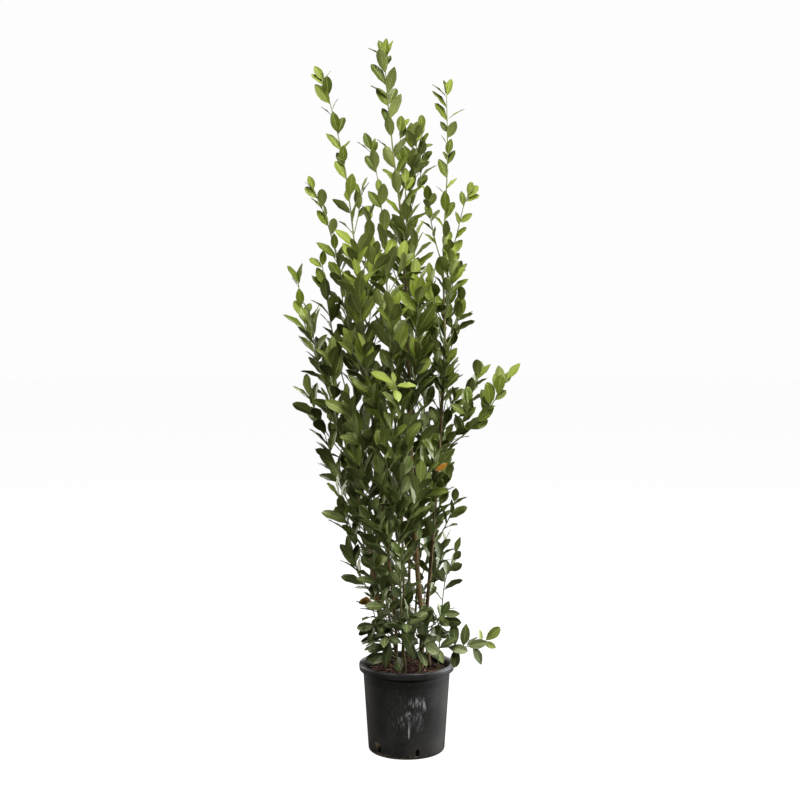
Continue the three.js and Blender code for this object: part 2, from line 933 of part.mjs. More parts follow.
function pot() {
  const angles = Array.from({ length: SLOT.count }, (_, i) => SLOT.firstAngle + (360 * i) / SLOT.count);
  const slots = angles.map(slotCutter);
  return slots.reduce((shell, slot) => shell.subtract(slot), potShell());
}

function innerRadius(z) {
  const { height, wallTopRadius, baseRadius, cornerRadius, wall } = POT;
  return between((z - cornerRadius) / (height - wall - cornerRadius), baseRadius, wallTopRadius) - wall;
}

// Uneven ground: a low mound with small lumps.
function groundHeight(x, y, edge) {
  const { top, mound, lump } = SOIL;
  const share = Math.hypot(x, y) / edge;
  const lumps = Math.sin(x / 7.3 + 1) * Math.cos(y / 6.1) + Math.sin((x + y) / 11) * Math.cos((x - y) / 4.7);
  return top + mound * (1 - share * share) + lump * lumps;
}

function soil() {
  const { top, edgeDrop, gap, rings } = SOIL;
  const edge = innerRadius(top - edgeDrop) - 2 * gap;
  const profile = [
    new THREE.Vector2(0, POT.wall + gap),
    new THREE.Vector2(POT.baseRadius - POT.cornerRadius - gap, POT.wall + gap),
    new THREE.Vector2(POT.baseRadius - POT.wall - gap, POT.cornerRadius + gap),
    new THREE.Vector2(edge, top - edgeDrop),
    ...rings.map((share) => new THREE.Vector2(share * edge, top)),
    new THREE.Vector2(0, top),
  ];
  const geometry = turned(profile);
  const position = geometry.attributes.position;
  for (let i = 0; i < position.count; i += 1) {
    if (position.getZ(i) === top) position.setZ(i, groundHeight(position.getX(i), position.getY(i), edge));
  }
  return solidOf(geometry);
}

// The hole in the soil that a stem stands in.
const HOLE_OVERSHOOT = 30;

function stemHole({ axes: [main] }) {
  const [low, high] = main.points;
  const way = high.clone().sub(low).normalize();
  const bottom = low.clone().addScaledVector(way, -HOLE_GAP);
  const mouth = high.clone().addScaledVector(way, HOLE_OVERSHOOT);
  const wide = main.radii[0] + HOLE_GAP / Math.cos(Math.PI / STEM_SIDES);
  return solidOf(branch([bottom, mouth], [wide, wide], STEM_SIDES));
}

// ---- The assembled plant ----

const potPlastic = new THREE.MeshStandardMaterial({ color: 0x35373a, roughness: 0.55, metalness: 0 });
const darkSoil = new THREE.MeshStandardMaterial({ color: 0x3a2118, roughness: 0.95, metalness: 0 });
const laurelGreen = new THREE.MeshStandardMaterial({ color: 0x4a6b2a, roughness: 0.5, metalness: 0 });

const plant = new THREE.Group();

function add(name, solid, material) {
  const mesh = new THREE.Mesh(geometryOf(solid), material);
  mesh.name = name;
  plant.add(mesh);
}

add("pot", pot(), potPlastic);
add("soil", plants.reduce((bed, one) => bed.subtract(stemHole(one)), soil()), darkSoil);
for (const one of plants) add(one.stem.name, leafyStem(one), laurelGreen);

export default plant;
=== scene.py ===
# %% [markdown]
# # A bay laurel in its nursery pot
#
# The plant is thirteen leafy stems that rise together from the soil of one round black pot. The packed
# model holds each of them as one plain solid: a straight-sided stem with about a fifth of its leaves.
# Here every solid gets a finer piece in the same place, and the leaves that the solids leave out.
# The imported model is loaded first, because everything else is placed in its frame.

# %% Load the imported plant
import math
from dataclasses import dataclass, field
from itertools import accumulate, product
from random import Random

import bmesh
import bpy
import numpy as np
from mathutils import Matrix, Vector, noise


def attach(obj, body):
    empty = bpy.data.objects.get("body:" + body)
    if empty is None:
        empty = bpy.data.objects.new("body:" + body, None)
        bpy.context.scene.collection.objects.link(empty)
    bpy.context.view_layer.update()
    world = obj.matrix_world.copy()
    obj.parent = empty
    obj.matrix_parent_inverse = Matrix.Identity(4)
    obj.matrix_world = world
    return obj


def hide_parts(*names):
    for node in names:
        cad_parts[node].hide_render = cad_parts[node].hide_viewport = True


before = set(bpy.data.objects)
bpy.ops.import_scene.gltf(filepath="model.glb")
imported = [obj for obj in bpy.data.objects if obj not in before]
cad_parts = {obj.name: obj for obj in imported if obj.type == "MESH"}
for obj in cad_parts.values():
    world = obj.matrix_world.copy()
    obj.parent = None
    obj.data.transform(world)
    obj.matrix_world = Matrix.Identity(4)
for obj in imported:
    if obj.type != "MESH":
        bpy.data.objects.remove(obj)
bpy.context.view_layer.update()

MM = 0.001
BODY = "root"

for name in ("Cube", "Light", "Camera"):  # what a new file in the window starts with
    if name in bpy.data.objects:
        bpy.data.objects.remove(bpy.data.objects[name])
bpy.ops.object.select_all(action="DESELECT")

# %% [markdown]
# ## Camera
#
# The plant is almost two metres tall, so it is seen from three and a half metres away, from a little
# above its middle and tilted down a touch: the pot shows its soil, and the tips stay upright. A lens of
# 58 mm from there keeps the stems straight. A longer lens further off would flatten the pot's mouth.

# %% Place the camera
CAMERA_AT = (-0.018, -3.52, 1.143)
CAMERA_TILT = 3
LENS = 58.5
SENSOR = 36

bpy.ops.object.camera_add(location=CAMERA_AT, rotation=(math.radians(90 - CAMERA_TILT), 0, 0))
camera = bpy.context.object
camera.data.lens = LENS
camera.data.sensor_width = SENSOR
bpy.context.scene.camera = camera
print("camera at", CAMERA_AT)

# %% [markdown]
# ## Wiring materials
#
# Every finish below is a small network of shader nodes. Placing nodes one by one in code is long-winded, so
# a `Wire` stands for the output of a node, and sums on wires add the nodes that do them. A finish is a
# function that wires up its nodes and says what goes into each input of the Principled shader. What is the
# same all over the surface stays a plain value, set on the shader itself.

# %% Wires
def fill_inputs(node, inputs):
    """Links wires to the inputs of a node, and sets plain values on them."""
    for key, value in inputs.items():
        if isinstance(value, Wire):
            node.id_data.links.new(value.socket, node.inputs[key])
        else:
            node.inputs[key].default_value = value


def add_node(tree, kind, inputs, **options):
    node = tree.nodes.new("ShaderNode" + kind)
    for name, value in options.items():
        setattr(node, name, value)
    fill_inputs(node, inputs)
    return node


class Wire:
    """The output of a shader node. What is done to it adds a node to the same material."""

    def __init__(self, node, output=0):
        self.socket = node.outputs[output]

    def to(self, kind, inputs, output=0, **options):
        return Wire(add_node(self.socket.id_data, kind, inputs, **options), output)

    def math(self, operation, other=0, **options):
        return self.to("Math", {0: self, 1: other}, operation=operation, **options)

    def __add__(self, other):
        return self.math("ADD", other)

    def __sub__(self, other):
        return self.math("SUBTRACT", other)

    def __mul__(self, other):
        return self.math("MULTIPLY", other)

    def vector(self, operation, other):
        return self.to("VectorMath", {0: self, 1: other}, operation=operation)

    def size(self):
        """How long a vector is."""
        return self.to("VectorMath", {0: self}, "Value", operation="LENGTH")

    def part(self, letter):
        """The X, Y or Z of a vector."""
        return self.to("SeparateXYZ", {0: self}, letter)

    def ranged(self, low, high, to_low=0, to_high=1):
        """Its place between low and high, as a number from to_low to to_high that stops at both."""
        inputs = {"Value": self, "From Min": low, "From Max": high, "To Min": to_low, "To Max": to_high}
        return self.to("MapRange", inputs)

    def noise(self, scale, detail=2, roughness=0.5):
        """A cloudy grain from 0 to 1 at each point."""
        inputs = {"Vector": self, "Scale": scale, "Detail": detail, "Roughness": roughness}
        return self.to("TexNoise", inputs, "Fac")

    def ramp(self, *stops):
        """A colour that runs through the stops, each (position, colour), as the wire's number goes up."""
        node = add_node(self.socket.id_data, "ValToRGB", {"Fac": self})
        elements = node.color_ramp.elements
        while len(elements) < len(stops):
            elements.new(0.5)
        for element, (position, colour) in zip(elements, stops):
            element.position = position
            element.color = (*colour, 1)
        return Wire(node, "Color")

    def bump(self, strength, depth, **options):
        """The normals of a relief, its depth in metres."""
        inputs = {"Strength": strength, "Distance": depth, "Height": self}
        return self.to("Bump", inputs, "Normal", **options)


# %% Helpers for materials
def mix(factor, below, above):
    """A colour with another laid over it by factor."""
    wire = factor if isinstance(factor, Wire) else below
    below, above = (colour if isinstance(colour, Wire) else (*colour, 1) for colour in (below, above))
    return wire.to("Mix", {0: factor, 6: below, 7: above}, 2, data_type="RGBA")


def coordinates(tree, kind="Object"):
    """Where a point lies on the plant, in metres, or for UV where on its own leaf."""
    return Wire(add_node(tree, "TexCoord", {}), kind)


def attribute(tree, name):
    """A number that each piece carries on its vertices."""
    return Wire(add_node(tree, "Attribute", {}, attribute_name=name), "Fac")


def make_material(name, finish, *options):
    """A new material, whose finish gives the inputs of the Principled shader."""
    material = bpy.data.materials.new(name)
    material.use_nodes = True
    fill_inputs(material.node_tree.nodes["Principled BSDF"], finish(material.node_tree, *options))
    return material


# %% [markdown]
# ## Floor, backdrop and light
#
# The plant stands on a pale seamless floor in plain soft studio light. A wide disc makes the floor, and a
# far white dome hides the horizon from every side. The dome is there for the eye only: if it lit the plant
# from all round, the leaves inside would lose their depth. Large soft lamps do the lighting: one overhead
# and a little in front, two in front, one on each side and one behind.

# %% Floor and backdrop
FLOOR_RADIUS = 30
FLOOR_DROP = 0.5 * MM
PALE = 0.99


def glowing(tree, diffuse, strength):
    """Matt, and glowing as a brightly lit white floor does."""
    return {
        "Base Color": (*[diffuse * PALE] * 3, 1),
        "Roughness": 1,
        "Specular IOR Level": 0,
        "Emission Color": (PALE, PALE, PALE, 1),
        "Emission Strength": strength,
    }


bpy.ops.mesh.primitive_circle_add(
    vertices=96, radius=FLOOR_RADIUS, fill_type="NGON", location=(0, 0, -FLOOR_DROP)
)
floor = bpy.context.object
floor.name = "floor"
floor.data.materials.append(make_material("pale floor", glowing, 0.12, 0.98))

bpy.ops.mesh.primitive_uv_sphere_add(segments=64, ring_count=32, radius=FLOOR_RADIUS)
backdrop = bpy.context.object
backdrop.name = "backdrop"
backdrop.data.materials.append(make_material("pale backdrop", glowing, 0, 0.995))
for ray in ("diffuse", "glossy", "transmission", "shadow", "volume_scatter"):
    setattr(backdrop, "visible_" + ray, False)
for ray in ("diffuse", "glossy"):
    setattr(floor, "visible_" + ray, False)
print("floor and backdrop", FLOOR_RADIUS, "m across")

# %% Lamps and the light of the room
LAMPS = [
    # name, place, width, height, watts, colour
    ("overhead lamp", (0.1, -0.9, 3.7), 1.6, 1.4, 190, (1.0, 0.985, 0.95)),
    ("front right lamp", (2.3, -2.6, 2.7), 1.1, 1.1, 98, (1.0, 0.99, 0.97)),
    ("front left lamp", (-2.6, -2.4, 2.1), 1.1, 1.1, 62, (1.0, 0.985, 0.95)),
    ("right lamp", (2.7, 0.8, 0.9), 2.3, 2.0, 170, (0.97, 0.985, 1.0)),
    ("left lamp", (-2.4, 2.0, 0.9), 1.2, 2.0, 50, (1.0, 0.95, 0.87)),
    ("back lamp", (0.4, 3.3, 2.6), 1.4, 1.2, 60, (1.0, 0.99, 0.97)),
]
LIT_POINT = Vector((0, 0, 0.95))
ROOM_LIGHT = 0.035

for name, place, width, height, watts, colour in LAMPS:
    aim = (LIT_POINT - Vector(place)).to_track_quat("-Z", "Y").to_euler()
    bpy.ops.object.light_add(type="AREA", location=place, rotation=aim)
    lamp = bpy.context.object
    lamp.name = name
    lamp.data.shape = "RECTANGLE"
    lamp.data.size = width
    lamp.data.size_y = height
    lamp.data.energy = watts
    lamp.data.color = colour
    lamp.visible_camera = False

room = bpy.data.worlds.new("room")
room.use_nodes = True
fill_inputs(room.node_tree.nodes["Background"], {"Color": (1, 1, 1, 1), "Strength": ROOM_LIGHT})
bpy.context.scene.world = room
bpy.context.scene.view_settings.view_transform = "Standard"
print("lamps:", len(LAMPS))

# %% [markdown]
# ## Working by hand, in code
#
# In the window a modeller clicks the vertices to move. In a script they are picked by where they are.
# These helpers do that, and `finish_piece` puts a finished piece at the origin with its place in its mesh,
# gives it to the frame, and says what it is.

# %% Helpers for modelling
def select_only(piece):
    bpy.ops.object.select_all(action="DESELECT")
    piece.select_set(True)
    bpy.context.view_layer.objects.active = piece


def place_into_mesh():
    """Puts the selected object at the origin, unturned and unscaled, and leaves its mesh where it was."""
    bpy.ops.object.transform_apply(location=True, rotation=True, scale=True)


def start_editing():
    bpy.ops.object.mode_set(mode="EDIT")
    bpy.ops.mesh.select_mode(type="VERT")


def stop_editing():
    bpy.ops.object.mode_set(mode="OBJECT")


def pick(test):
    """In edit mode, selects only the vertices whose place passes the test."""
    mesh = bmesh.from_edit_mesh(bpy.context.object.data)
    for vertex in mesh.verts:
        vertex.select_set(test(vertex.co))
    mesh.select_flush_mode()
    bmesh.update_edit_mesh(bpy.context.object.data)


def move(x, y, z):
    bpy.ops.transform.translate(value=(x, y, z))


def weld(distance):
    """Merges the vertices of the piece in hand that lie closer than a distance."""
    start_editing()
    bpy.ops.mesh.select_all(action="SELECT")
    bpy.ops.mesh.remove_doubles(threshold=distance)
    stop_editing()


def close_over(test):
    """Fills the open end whose vertices pass the test, turns all faces outwards and stops editing."""
    pick(test)
    bpy.ops.mesh.edge_face_add()
    bpy.ops.mesh.select_all(action="SELECT")
    bpy.ops.mesh.normals_make_consistent(inside=False)
    stop_editing()
    return bpy.context.object


def apply_modifier(piece, kind, **settings):
    modifier = piece.modifiers.new(kind.title(), kind)
    for name, value in settings.items():
        setattr(modifier, name, value)
    bpy.context.view_layer.objects.active = piece
    bpy.ops.object.modifier_apply(modifier=modifier.name)


def join(pieces, name):
    """Several objects as one."""
    select_only(pieces[0])
    for piece in pieces[1:]:
        piece.select_set(True)
    if len(pieces) > 1:
        bpy.ops.object.join()
    whole = bpy.context.object
    whole.name = whole.data.name = name
    return whole


def finish_piece(piece, name, slot, *nodes):
    """Puts the piece's place in its mesh and hands it to the frame."""
    select_only(piece)
    place_into_mesh()
    piece.name = piece.data.name = name
    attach(piece, BODY)
    if nodes:
        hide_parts(*nodes)
    print(name, "faces:", len(piece.data.polygons))


def copy_of(model, placing, values):
    """A copy of a model with its own mesh, placed by a matrix. The values go on all its vertices."""
    mesh = model.data.copy()
    mesh.transform(placing)
    for name, value in values.items():
        mesh.attributes[name].data.foreach_set("value", np.full(len(mesh.vertices), value, np.float32))
    piece = bpy.data.objects.new(model.name + "_copy", mesh)
    bpy.context.collection.objects.link(piece)
    return piece


def remove_all(models):
    """Models go once they are copied."""
    for model in models:
        bpy.data.objects.remove(model)


# %% [markdown]
# ## The pot
#
# A nursery pot is blown or moulded from thin black plastic: a flat base with a rounded corner, a wall that
# widens a little on the way up, and a lip rolled over to the outside so that it can be lifted. It could be
# spun from a profile. Here it grows from the filled circle of its base: the cap is extruded and resized
# ring by ring, up the outside, over the lip and down the inside, where it ends as the inner floor.
# Drainage slots go through the foot, cut by one round-ended cutter that is copied round the pot.

# %% The pot's shell
POT = {"height": 240, "rim": 130, "wall_top": 120, "base": 104.5, "corner": 7, "wall": 2}
LIP = {"wall": 3, "round": 4}
# From where the lip meets the wall, round its lower edge and up its outside: how far in from the rim, and
# how far down from the top.
LIP_POINTS = [(4, 3), (3, 4), (3, 17.4), (2.4, 18), (1.7, 18), (1, 17.3), (0.3, 11)]
OVER_POINTS = [(9, 0), (10.6, 0.7)]  # from the top of the lip into the pot
POT_SIDES = 96
WALL_RINGS = (34, 70, 115, 165, 210, 226)
ARC_STEPS = 5
SAME_PLACE = 0.001 * MM


def wall_radius(z):
    """The outside of the wall at a height."""
    share = (z - POT["corner"]) / (POT["height"] - LIP["wall"] - POT["corner"])
    return POT["base"] + share * (POT["wall_top"] - POT["base"])


def rounding(x, z, radius, start, end):
    """Points on an arc of the profile, its angles in degrees."""
    angles = [math.radians(start + (end - start) * i / ARC_STEPS) for i in range(ARC_STEPS + 1)]
    return [(x + radius * math.cos(a), z + radius * math.sin(a)) for a in angles]


def pot_profile():
    """(radius, height) from the base, up the outside, over the lip and down the inside."""
    height, rim, corner, wall = (POT[part] for part in ("height", "rim", "corner", "wall"))
    foot = rounding(POT["base"] - corner, corner, corner, -90, 0)
    outside = [(wall_radius(z), z) for z in (*WALL_RINGS, height - 5, height - 3.2)]
    lip = [(rim - inwards, height - down) for inwards, down in LIP_POINTS]
    lip += rounding(rim - LIP["round"], height - LIP["round"], LIP["round"], 0, 90)
    lip += [(rim - inwards, height - down) for inwards, down in OVER_POINTS]
    inside = [(wall_radius(z) - wall, z) for z in (height - 5, *reversed(WALL_RINGS), corner)]
    return [*foot, *outside, *lip, *inside, (POT["base"] - corner, wall)]


def filled_circle(sides, radius, place, rotation=(0, 0, 0)):
    """A disc with its place in its mesh, ready for editing."""
    bpy.ops.mesh.primitive_circle_add(
        vertices=sides, radius=radius, fill_type="NGON", location=place, rotation=rotation
    )
    place_into_mesh()
    start_editing()


def grow_rings(profile, sides):
    """A filled circle whose cap is extruded and resized from each point of the profile to the next."""
    radius, height = profile[0]
    bottom = height * MM
    filled_circle(sides, radius * MM, (0, 0, bottom))
    bpy.ops.mesh.select_all(action="SELECT")
    for next_radius, next_height in profile[1:]:
        step = {"value": (0, 0, (next_height - height) * MM)}
        bpy.ops.mesh.extrude_region_move(TRANSFORM_OT_translate=step)
        scale = next_radius / radius
        middle = (0, 0, next_height * MM)
        bpy.ops.transform.resize(value=(scale, scale, 1), center_override=middle)
        radius, height = next_radius, next_height
    return close_over(lambda co: abs(co.z - bottom) < SAME_PLACE)


pot = grow_rings(pot_profile(), POT_SIDES)
print("pot shell faces:", len(pot.data.polygons))

# %% Drainage slots
SLOT = {"count": 6, "width": 12, "height": 20, "bottom": 9, "first": -74}
SLOT_SIDES = 20
CUTTER_DEPTH = 40 * MM


def slot_cutter():
    """A round-ended block that pierces the front of the wall."""
    radius = SLOT["width"] / 2 * MM
    centre = SLOT["bottom"] * MM + radius
    front = -(POT["base"] * MM + CUTTER_DEPTH / 2)
    filled_circle(SLOT_SIDES, radius, (0, front, centre), (math.pi / 2, 0, 0))
    pick(lambda co: co.z > centre + SAME_PLACE)
    move(0, 0, (SLOT["height"] - SLOT["width"]) * MM)
    bpy.ops.mesh.select_all(action="SELECT")
    bpy.ops.mesh.extrude_region_move(TRANSFORM_OT_translate={"value": (0, CUTTER_DEPTH, 0)})
    return close_over(lambda co: co.y < front + CUTTER_DEPTH / 2)


cutter = slot_cutter()
turns = [SLOT["first"] + 90 + 360 * i / SLOT["count"] for i in range(SLOT["count"])]
cutters = [copy_of(cutter, Matrix.Rotation(math.radians(turn), 4, "Z"), {}) for turn in turns]
all_cutters = join(cutters, "slot_cutters")
apply_modifier(pot, "BOOLEAN", object=all_cutters, operation="DIFFERENCE", solver="EXACT")
remove_all([all_cutters, cutter])
print("slots:", SLOT["count"])

# %% [markdown]
# ## Used black plastic
#
# The plastic is charcoal, not black, with a satin sheen. A pot that has stood in a nursery has water marks:
# whitish lime that ran down in thin streaks, dust that gathers towards the foot, and dried mud low down.
# The paler grey at the two sides is a painted sheen, and the nearly black inside of the wall is painted
# shade. All of it is drawn by noise on the object's coordinates, stretched upright for what runs down, and
# kept to its place by soft round masks.

# %% Marks on the plastic
# Each is its centre and its half size, in metres, and how strong it is.
LIME_SPOTS = [
    ((0.006, -0.112, 0.088), (0.0048, 0.03, 0.056), 1.25),
    ((0.003, -0.112, 0.126), (0.013, 0.03, 0.026), 0.75),
    ((0.046, -0.103, 0.150), (0.0085, 0.03, 0.032), 1.0),
    ((0.026, -0.108, 0.158), (0.038, 0.03, 0.026), 0.7),
    ((-0.016, -0.112, 0.106), (0.036, 0.03, 0.036), 0.45),
    ((0.028, -0.110, 0.112), (0.034, 0.04, 0.060), 0.5),
    ((0.004, -0.110, 0.120), (0.095, 0.06, 0.105), 0.3),
]
# Painted sheen: paler grey patches at the two sides stand in for the light that the side lamps throw on the
# pot.
SIDE_SHEEN_SPOTS = [
    ((-0.098, -0.050, 0.120), (0.034, 0.09, 0.150), 0.55),
    ((0.112, -0.030, 0.120), (0.028, 0.09, 0.150), 0.9),
]
MUD_SPOTS = [
    ((-0.080, -0.070, 0.030), (0.011, 0.05, 0.013), 0.85),
    ((-0.066, -0.078, 0.006), (0.030, 0.05, 0.007), 0.85),
    ((-0.020, -0.100, 0.004), (0.030, 0.05, 0.005), 0.85),
    ((0.020, -0.100, 0.009), (0.014, 0.05, 0.008), 0.85),
    ((0.080, 0.072, 0.020), (0.050, 0.05, 0.022), 0.85),
    ((-0.070, 0.080, 0.016), (0.050, 0.05, 0.020), 0.85),
]


def strongest_spot(where, spots):
    """The highest of several soft ovals, each its strength at its centre and 0 at its edge."""
    highest = 0
    for centre, size, strength in spots:
        distance = where.vector("SUBTRACT", centre).vector("DIVIDE", size).size()
        highest = (distance.ranged(0.25, 1, 1, 0) * strength).math("MAXIMUM", highest)
    return highest


print("marks:", len(LIME_SPOTS + SIDE_SHEEN_SPOTS + MUD_SPOTS))

# %% Material: used black plastic
CHARCOAL = (0.0135, 0.0135, 0.0120)
FADED = (0.025, 0.026, 0.025)
SCUFFED = (0.085, 0.086, 0.086)
DUSTY = (0.055, 0.046, 0.036)
PAINTED_SIDE_SHEEN = (0.055, 0.052, 0.044)
UNLIT = (0.004, 0.004, 0.004)
LIME_WHITE = (0.33, 0.33, 0.34)
MUD = (0.26, 0.18, 0.10)
INNER_WALL = (0.1185, 0.1165)  # how far from the axis the painted shade begins, and where it is full
MOUTH = (0.19, 0.20)  # the same up the pot


def black_plastic(tree):
    where = coordinates(tree)
    height = where.part("Z")
    grain = where.noise(900)
    clouds = where.noise(14, 4, 0.6)
    runs = where.vector("MULTIPLY", (1, 1, 0.16)).noise(320, 4, 0.65)
    specks = where.vector("MULTIPLY", (1, 1, 0.5)).noise(260, 3, 0.7)

    colour = mix(clouds.ranged(0.35, 0.7), CHARCOAL, FADED)
    colour = mix(specks.ranged(0.52, 0.68) * runs.ranged(0.4, 0.7) * 0.35, colour, SCUFFED)
    colour = mix(height.ranged(0.08, 0) * clouds.ranged(0.4, 0.65) * 0.5, colour, DUSTY)
    # Painted sheen at the two sides, broken up by the streaks.
    colour = mix(strongest_spot(where, SIDE_SHEEN_SPOTS) * runs.ranged(0.3, 0.7, 0.4, 1), colour, PAINTED_SIDE_SHEEN)
    # Painted shade: the inside of the wall above the soil is darkened to near black.
    from_axis = where.vector("MULTIPLY", (1, 1, 0)).size()
    colour = mix(from_axis.ranged(*INNER_WALL) * height.ranged(*MOUTH), colour, UNLIT)

    lime = strongest_spot(where, LIME_SPOTS)
    streaks = runs * 0.65 + specks * 0.35 + lime * 0.2
    thin_lime = runs.ranged(0.6, 0.8) * clouds.ranged(0.45, 0.7) * 0.22
    lime = (streaks.ranged(0.6, 0.76) * lime.ranged(0, 0.5)).math("MAXIMUM", thin_lime)
    colour = mix(lime, colour, LIME_WHITE)
    colour = mix(strongest_spot(where, MUD_SPOTS) * specks.ranged(0.47, 0.54), colour, MUD)
    return {
        "Base Color": colour,
        "Roughness": clouds.ranged(0.3, 0.7, 0.40, 0.52) + lime * 0.3,
        "Specular IOR Level": 0.5,
        "Normal": (grain + clouds * 0.6).bump(0.12, 0.0006),
    }


pot.data.materials.append(make_material("used black plastic", black_plastic))
select_only(pot)
bpy.ops.object.shade_smooth_by_angle(angle=math.radians(32))
finish_piece(pot, "nursery_pot", "pot_plastic", "pot")

# %% [markdown]
# ## Soil
#
# Potting soil for woody plants is a reddish brown mix of bark and coir. It fills the pot to a finger below
# the rim, a little higher round the stems, and its surface is uneven. The body of it grows ring by ring
# as the pot did; then its top rings are lifted to the uneven ground, with finer crumbs on it from noise.

# %% The body of the soil
SOIL = {"top": 218, "edge_drop": 3, "mound": 7, "lump": 1.5, "gap": 0.3}
SOIL_SIDES = 96
SOIL_RINGS = 22
LUMP_WIDTHS = (7.3, 6.1, 11, 4.7)
CRUMBS = {"height": 1.6, "coarse": 6, "fine": 2.7, "fine_share": 0.6}


def inner_radius(z):
    """The inside of the pot's wall at a height."""
    share = (z - POT["corner"]) / (POT["height"] - POT["wall"] - POT["corner"])
    return POT["base"] + share * (POT["wall_top"] - POT["base"]) - POT["wall"]


SOIL_EDGE = inner_radius(SOIL["top"] - SOIL["edge_drop"]) - 2 * SOIL["gap"]


def ground_height(x, y):
    """The uneven ground, in millimetres: a low mound with small lumps."""
    share = math.hypot(x, y) / SOIL_EDGE
    a, b, c, d = LUMP_WIDTHS
    lumps = math.sin(x / a + 1) * math.cos(y / b) + math.sin((x + y) / c) * math.cos((x - y) / d)
    return SOIL["top"] + SOIL["mound"] * (1 - share * share) + SOIL["lump"] * lumps


def soil_body():
    low = POT["wall"] + SOIL["gap"]
    profile = [
        (POT["base"] - POT["corner"] - SOIL["gap"], low),
        (POT["base"] - POT["wall"] - SOIL["gap"], POT["corner"] + SOIL["gap"]),
        (SOIL_EDGE, SOIL["top"] - SOIL["edge_drop"]),
    ]
    profile += [(SOIL_EDGE * (1 - i / SOIL_RINGS), SOIL["top"]) for i in range(1, SOIL_RINGS)]
    profile.append((0.01, SOIL["top"]))  # the last ring is so small that it is welded to a point
    soil = grow_rings(profile, SOIL_SIDES)
    weld(0.05 * MM)
    for vertex in soil.data.vertices:
        x, y, z = vertex.co / MM
        if abs(z - SOIL["top"]) < 0.1:  # it is on the ground, and not at the edge
            crumbs = noise.noise(Vector((x, y, 0)) / CRUMBS["coarse"])
            crumbs += CRUMBS["fine_share"] * noise.noise(Vector((x, y, 9)) / CRUMBS["fine"])
            vertex.co.z = (ground_height(x, y) + CRUMBS["height"] * crumbs) * MM
    return soil


soil = soil_body()
print("soil faces:", len(soil.data.polygons))

# %% [markdown]
# ## Bark chips
#
# What one sees of the soil is its chips: flat splinters of bark from a few millimetres to two centimetres,
# most of them dark and red, a few pale where they broke. Four chips are modelled, each a block with its
# corners pushed about and its edges bevelled, and hundreds of copies are scattered over the ground.

# %% Model and scatter the chips
CHIP_SIZES = [(13, 6.5, 2.2), (9, 7, 2.6), (16, 4.2, 2.4), (7, 5, 3.2)]
CHIP_COUNT = 620
CHIP_SEED = 31
CHIP_SHAPE_SEED = 11
CHIP_ROUGHNESS = 1.5 * MM
CHIP_BEVEL = 0.5 * MM
CHIP_TILTS = (0.38, 0.3)  # how far they mostly tip, in radians, lengthways and across
CHIP_SCALES = (0.4, 1.15)
CHIP_RISE = (0.2, 2.2)
FROM_WALL = 6


def chip_model(index, size):
    bpy.ops.mesh.primitive_cube_add(size=1, scale=[edge * MM for edge in size])
    place_into_mesh()
    chip = bpy.context.object
    chip.name = f"chip_{index}"
    start_editing()
    bpy.ops.mesh.select_all(action="SELECT")
    bpy.ops.transform.vertex_random(offset=CHIP_ROUGHNESS, seed=CHIP_SHAPE_SEED + index)
    bpy.ops.mesh.bevel(offset=CHIP_BEVEL, segments=1)
    stop_editing()
    chip.data.attributes.new("tone", "FLOAT", "POINT")
    return chip


def scattered_chip(models, chance):
    reach = (SOIL_EDGE - FROM_WALL) * math.sqrt(chance.random())
    angle = chance.uniform(0, 2 * math.pi)
    x, y = reach * math.cos(angle), reach * math.sin(angle)
    tilts = [Matrix.Rotation(chance.gauss(0, tilt), 4, axis) for tilt, axis in zip(CHIP_TILTS, "XY")]
    turn = Matrix.Rotation(chance.uniform(0, 2 * math.pi), 4, "Z")
    scale = Matrix.Scale(chance.uniform(*CHIP_SCALES), 4)
    place = Matrix.Translation(Vector((x, y, ground_height(x, y) + chance.uniform(*CHIP_RISE))) * MM)
    placing = place @ turn @ (tilts[0] @ tilts[1]) @ scale
    return copy_of(chance.choice(models), placing, {"tone": chance.random()})


chip_models = [chip_model(i, size) for i, size in enumerate(CHIP_SIZES)]
chance = Random(CHIP_SEED)
bark_chips = join([scattered_chip(chip_models, chance) for _ in range(CHIP_COUNT)], "bark_chips")
remove_all(chip_models)
print("chips:", CHIP_COUNT)

# %% Materials: soil and bark chips
SOIL_TONES = [(0.3, (0.004, 0.002, 0.002)), (0.55, (0.038, 0.014, 0.008)), (0.8, (0.15, 0.058, 0.032))]
DAMP = (0.012, 0.008, 0.006)
SHADED = (0.0008, 0.0006, 0.0005)  # of the soil that lies in the gap along the wall
CHIP_TONES = [
    (0, (0.010, 0.005, 0.003)),
    (0.5, (0.068, 0.025, 0.014)),
    (0.86, (0.18, 0.068, 0.036)),
    (0.97, (0.50, 0.30, 0.18)),
]
CHIP_GRAIN = (0.018, 0.009, 0.006)


def dark_soil(tree):
    where = coordinates(tree)
    crumbs = where.noise(420, 4, 0.7)
    colour = mix(where.noise(60, 3).ranged(0.4, 0.7, 0, 0.5), crumbs.ramp(*SOIL_TONES), DAMP)
    return {
        "Base Color": mix(where.part("Z").ranged(0.212, 0.200), colour, SHADED),
        "Roughness": 0.93,
        "Specular IOR Level": 0.25,
        "Normal": crumbs.bump(0.9, 0.0012),
    }


def chip_bark(tree):
    fibres = coordinates(tree).vector("MULTIPLY", (1, 0.3, 1)).noise(700, 3, 0.6)
    tones = attribute(tree, "tone").ramp(*CHIP_TONES)
    return {
        "Base Color": mix(fibres.ranged(0.3, 0.7, 0, 0.55), tones, CHIP_GRAIN),
        "Roughness": fibres.ranged(0.3, 0.7, 0.65, 0.9),
        "Specular IOR Level": 0.3,
        "Normal": fibres.bump(0.5, 0.0004),
    }


soil.data.materials.append(make_material("dark soil", dark_soil))
soil.data.shade_smooth()
finish_piece(soil, "soil_ground", "potting_soil", "soil")
bark_chips.data.materials.append(make_material("chip bark", chip_bark))
finish_piece(bark_chips, "bark_chips", "potting_soil")

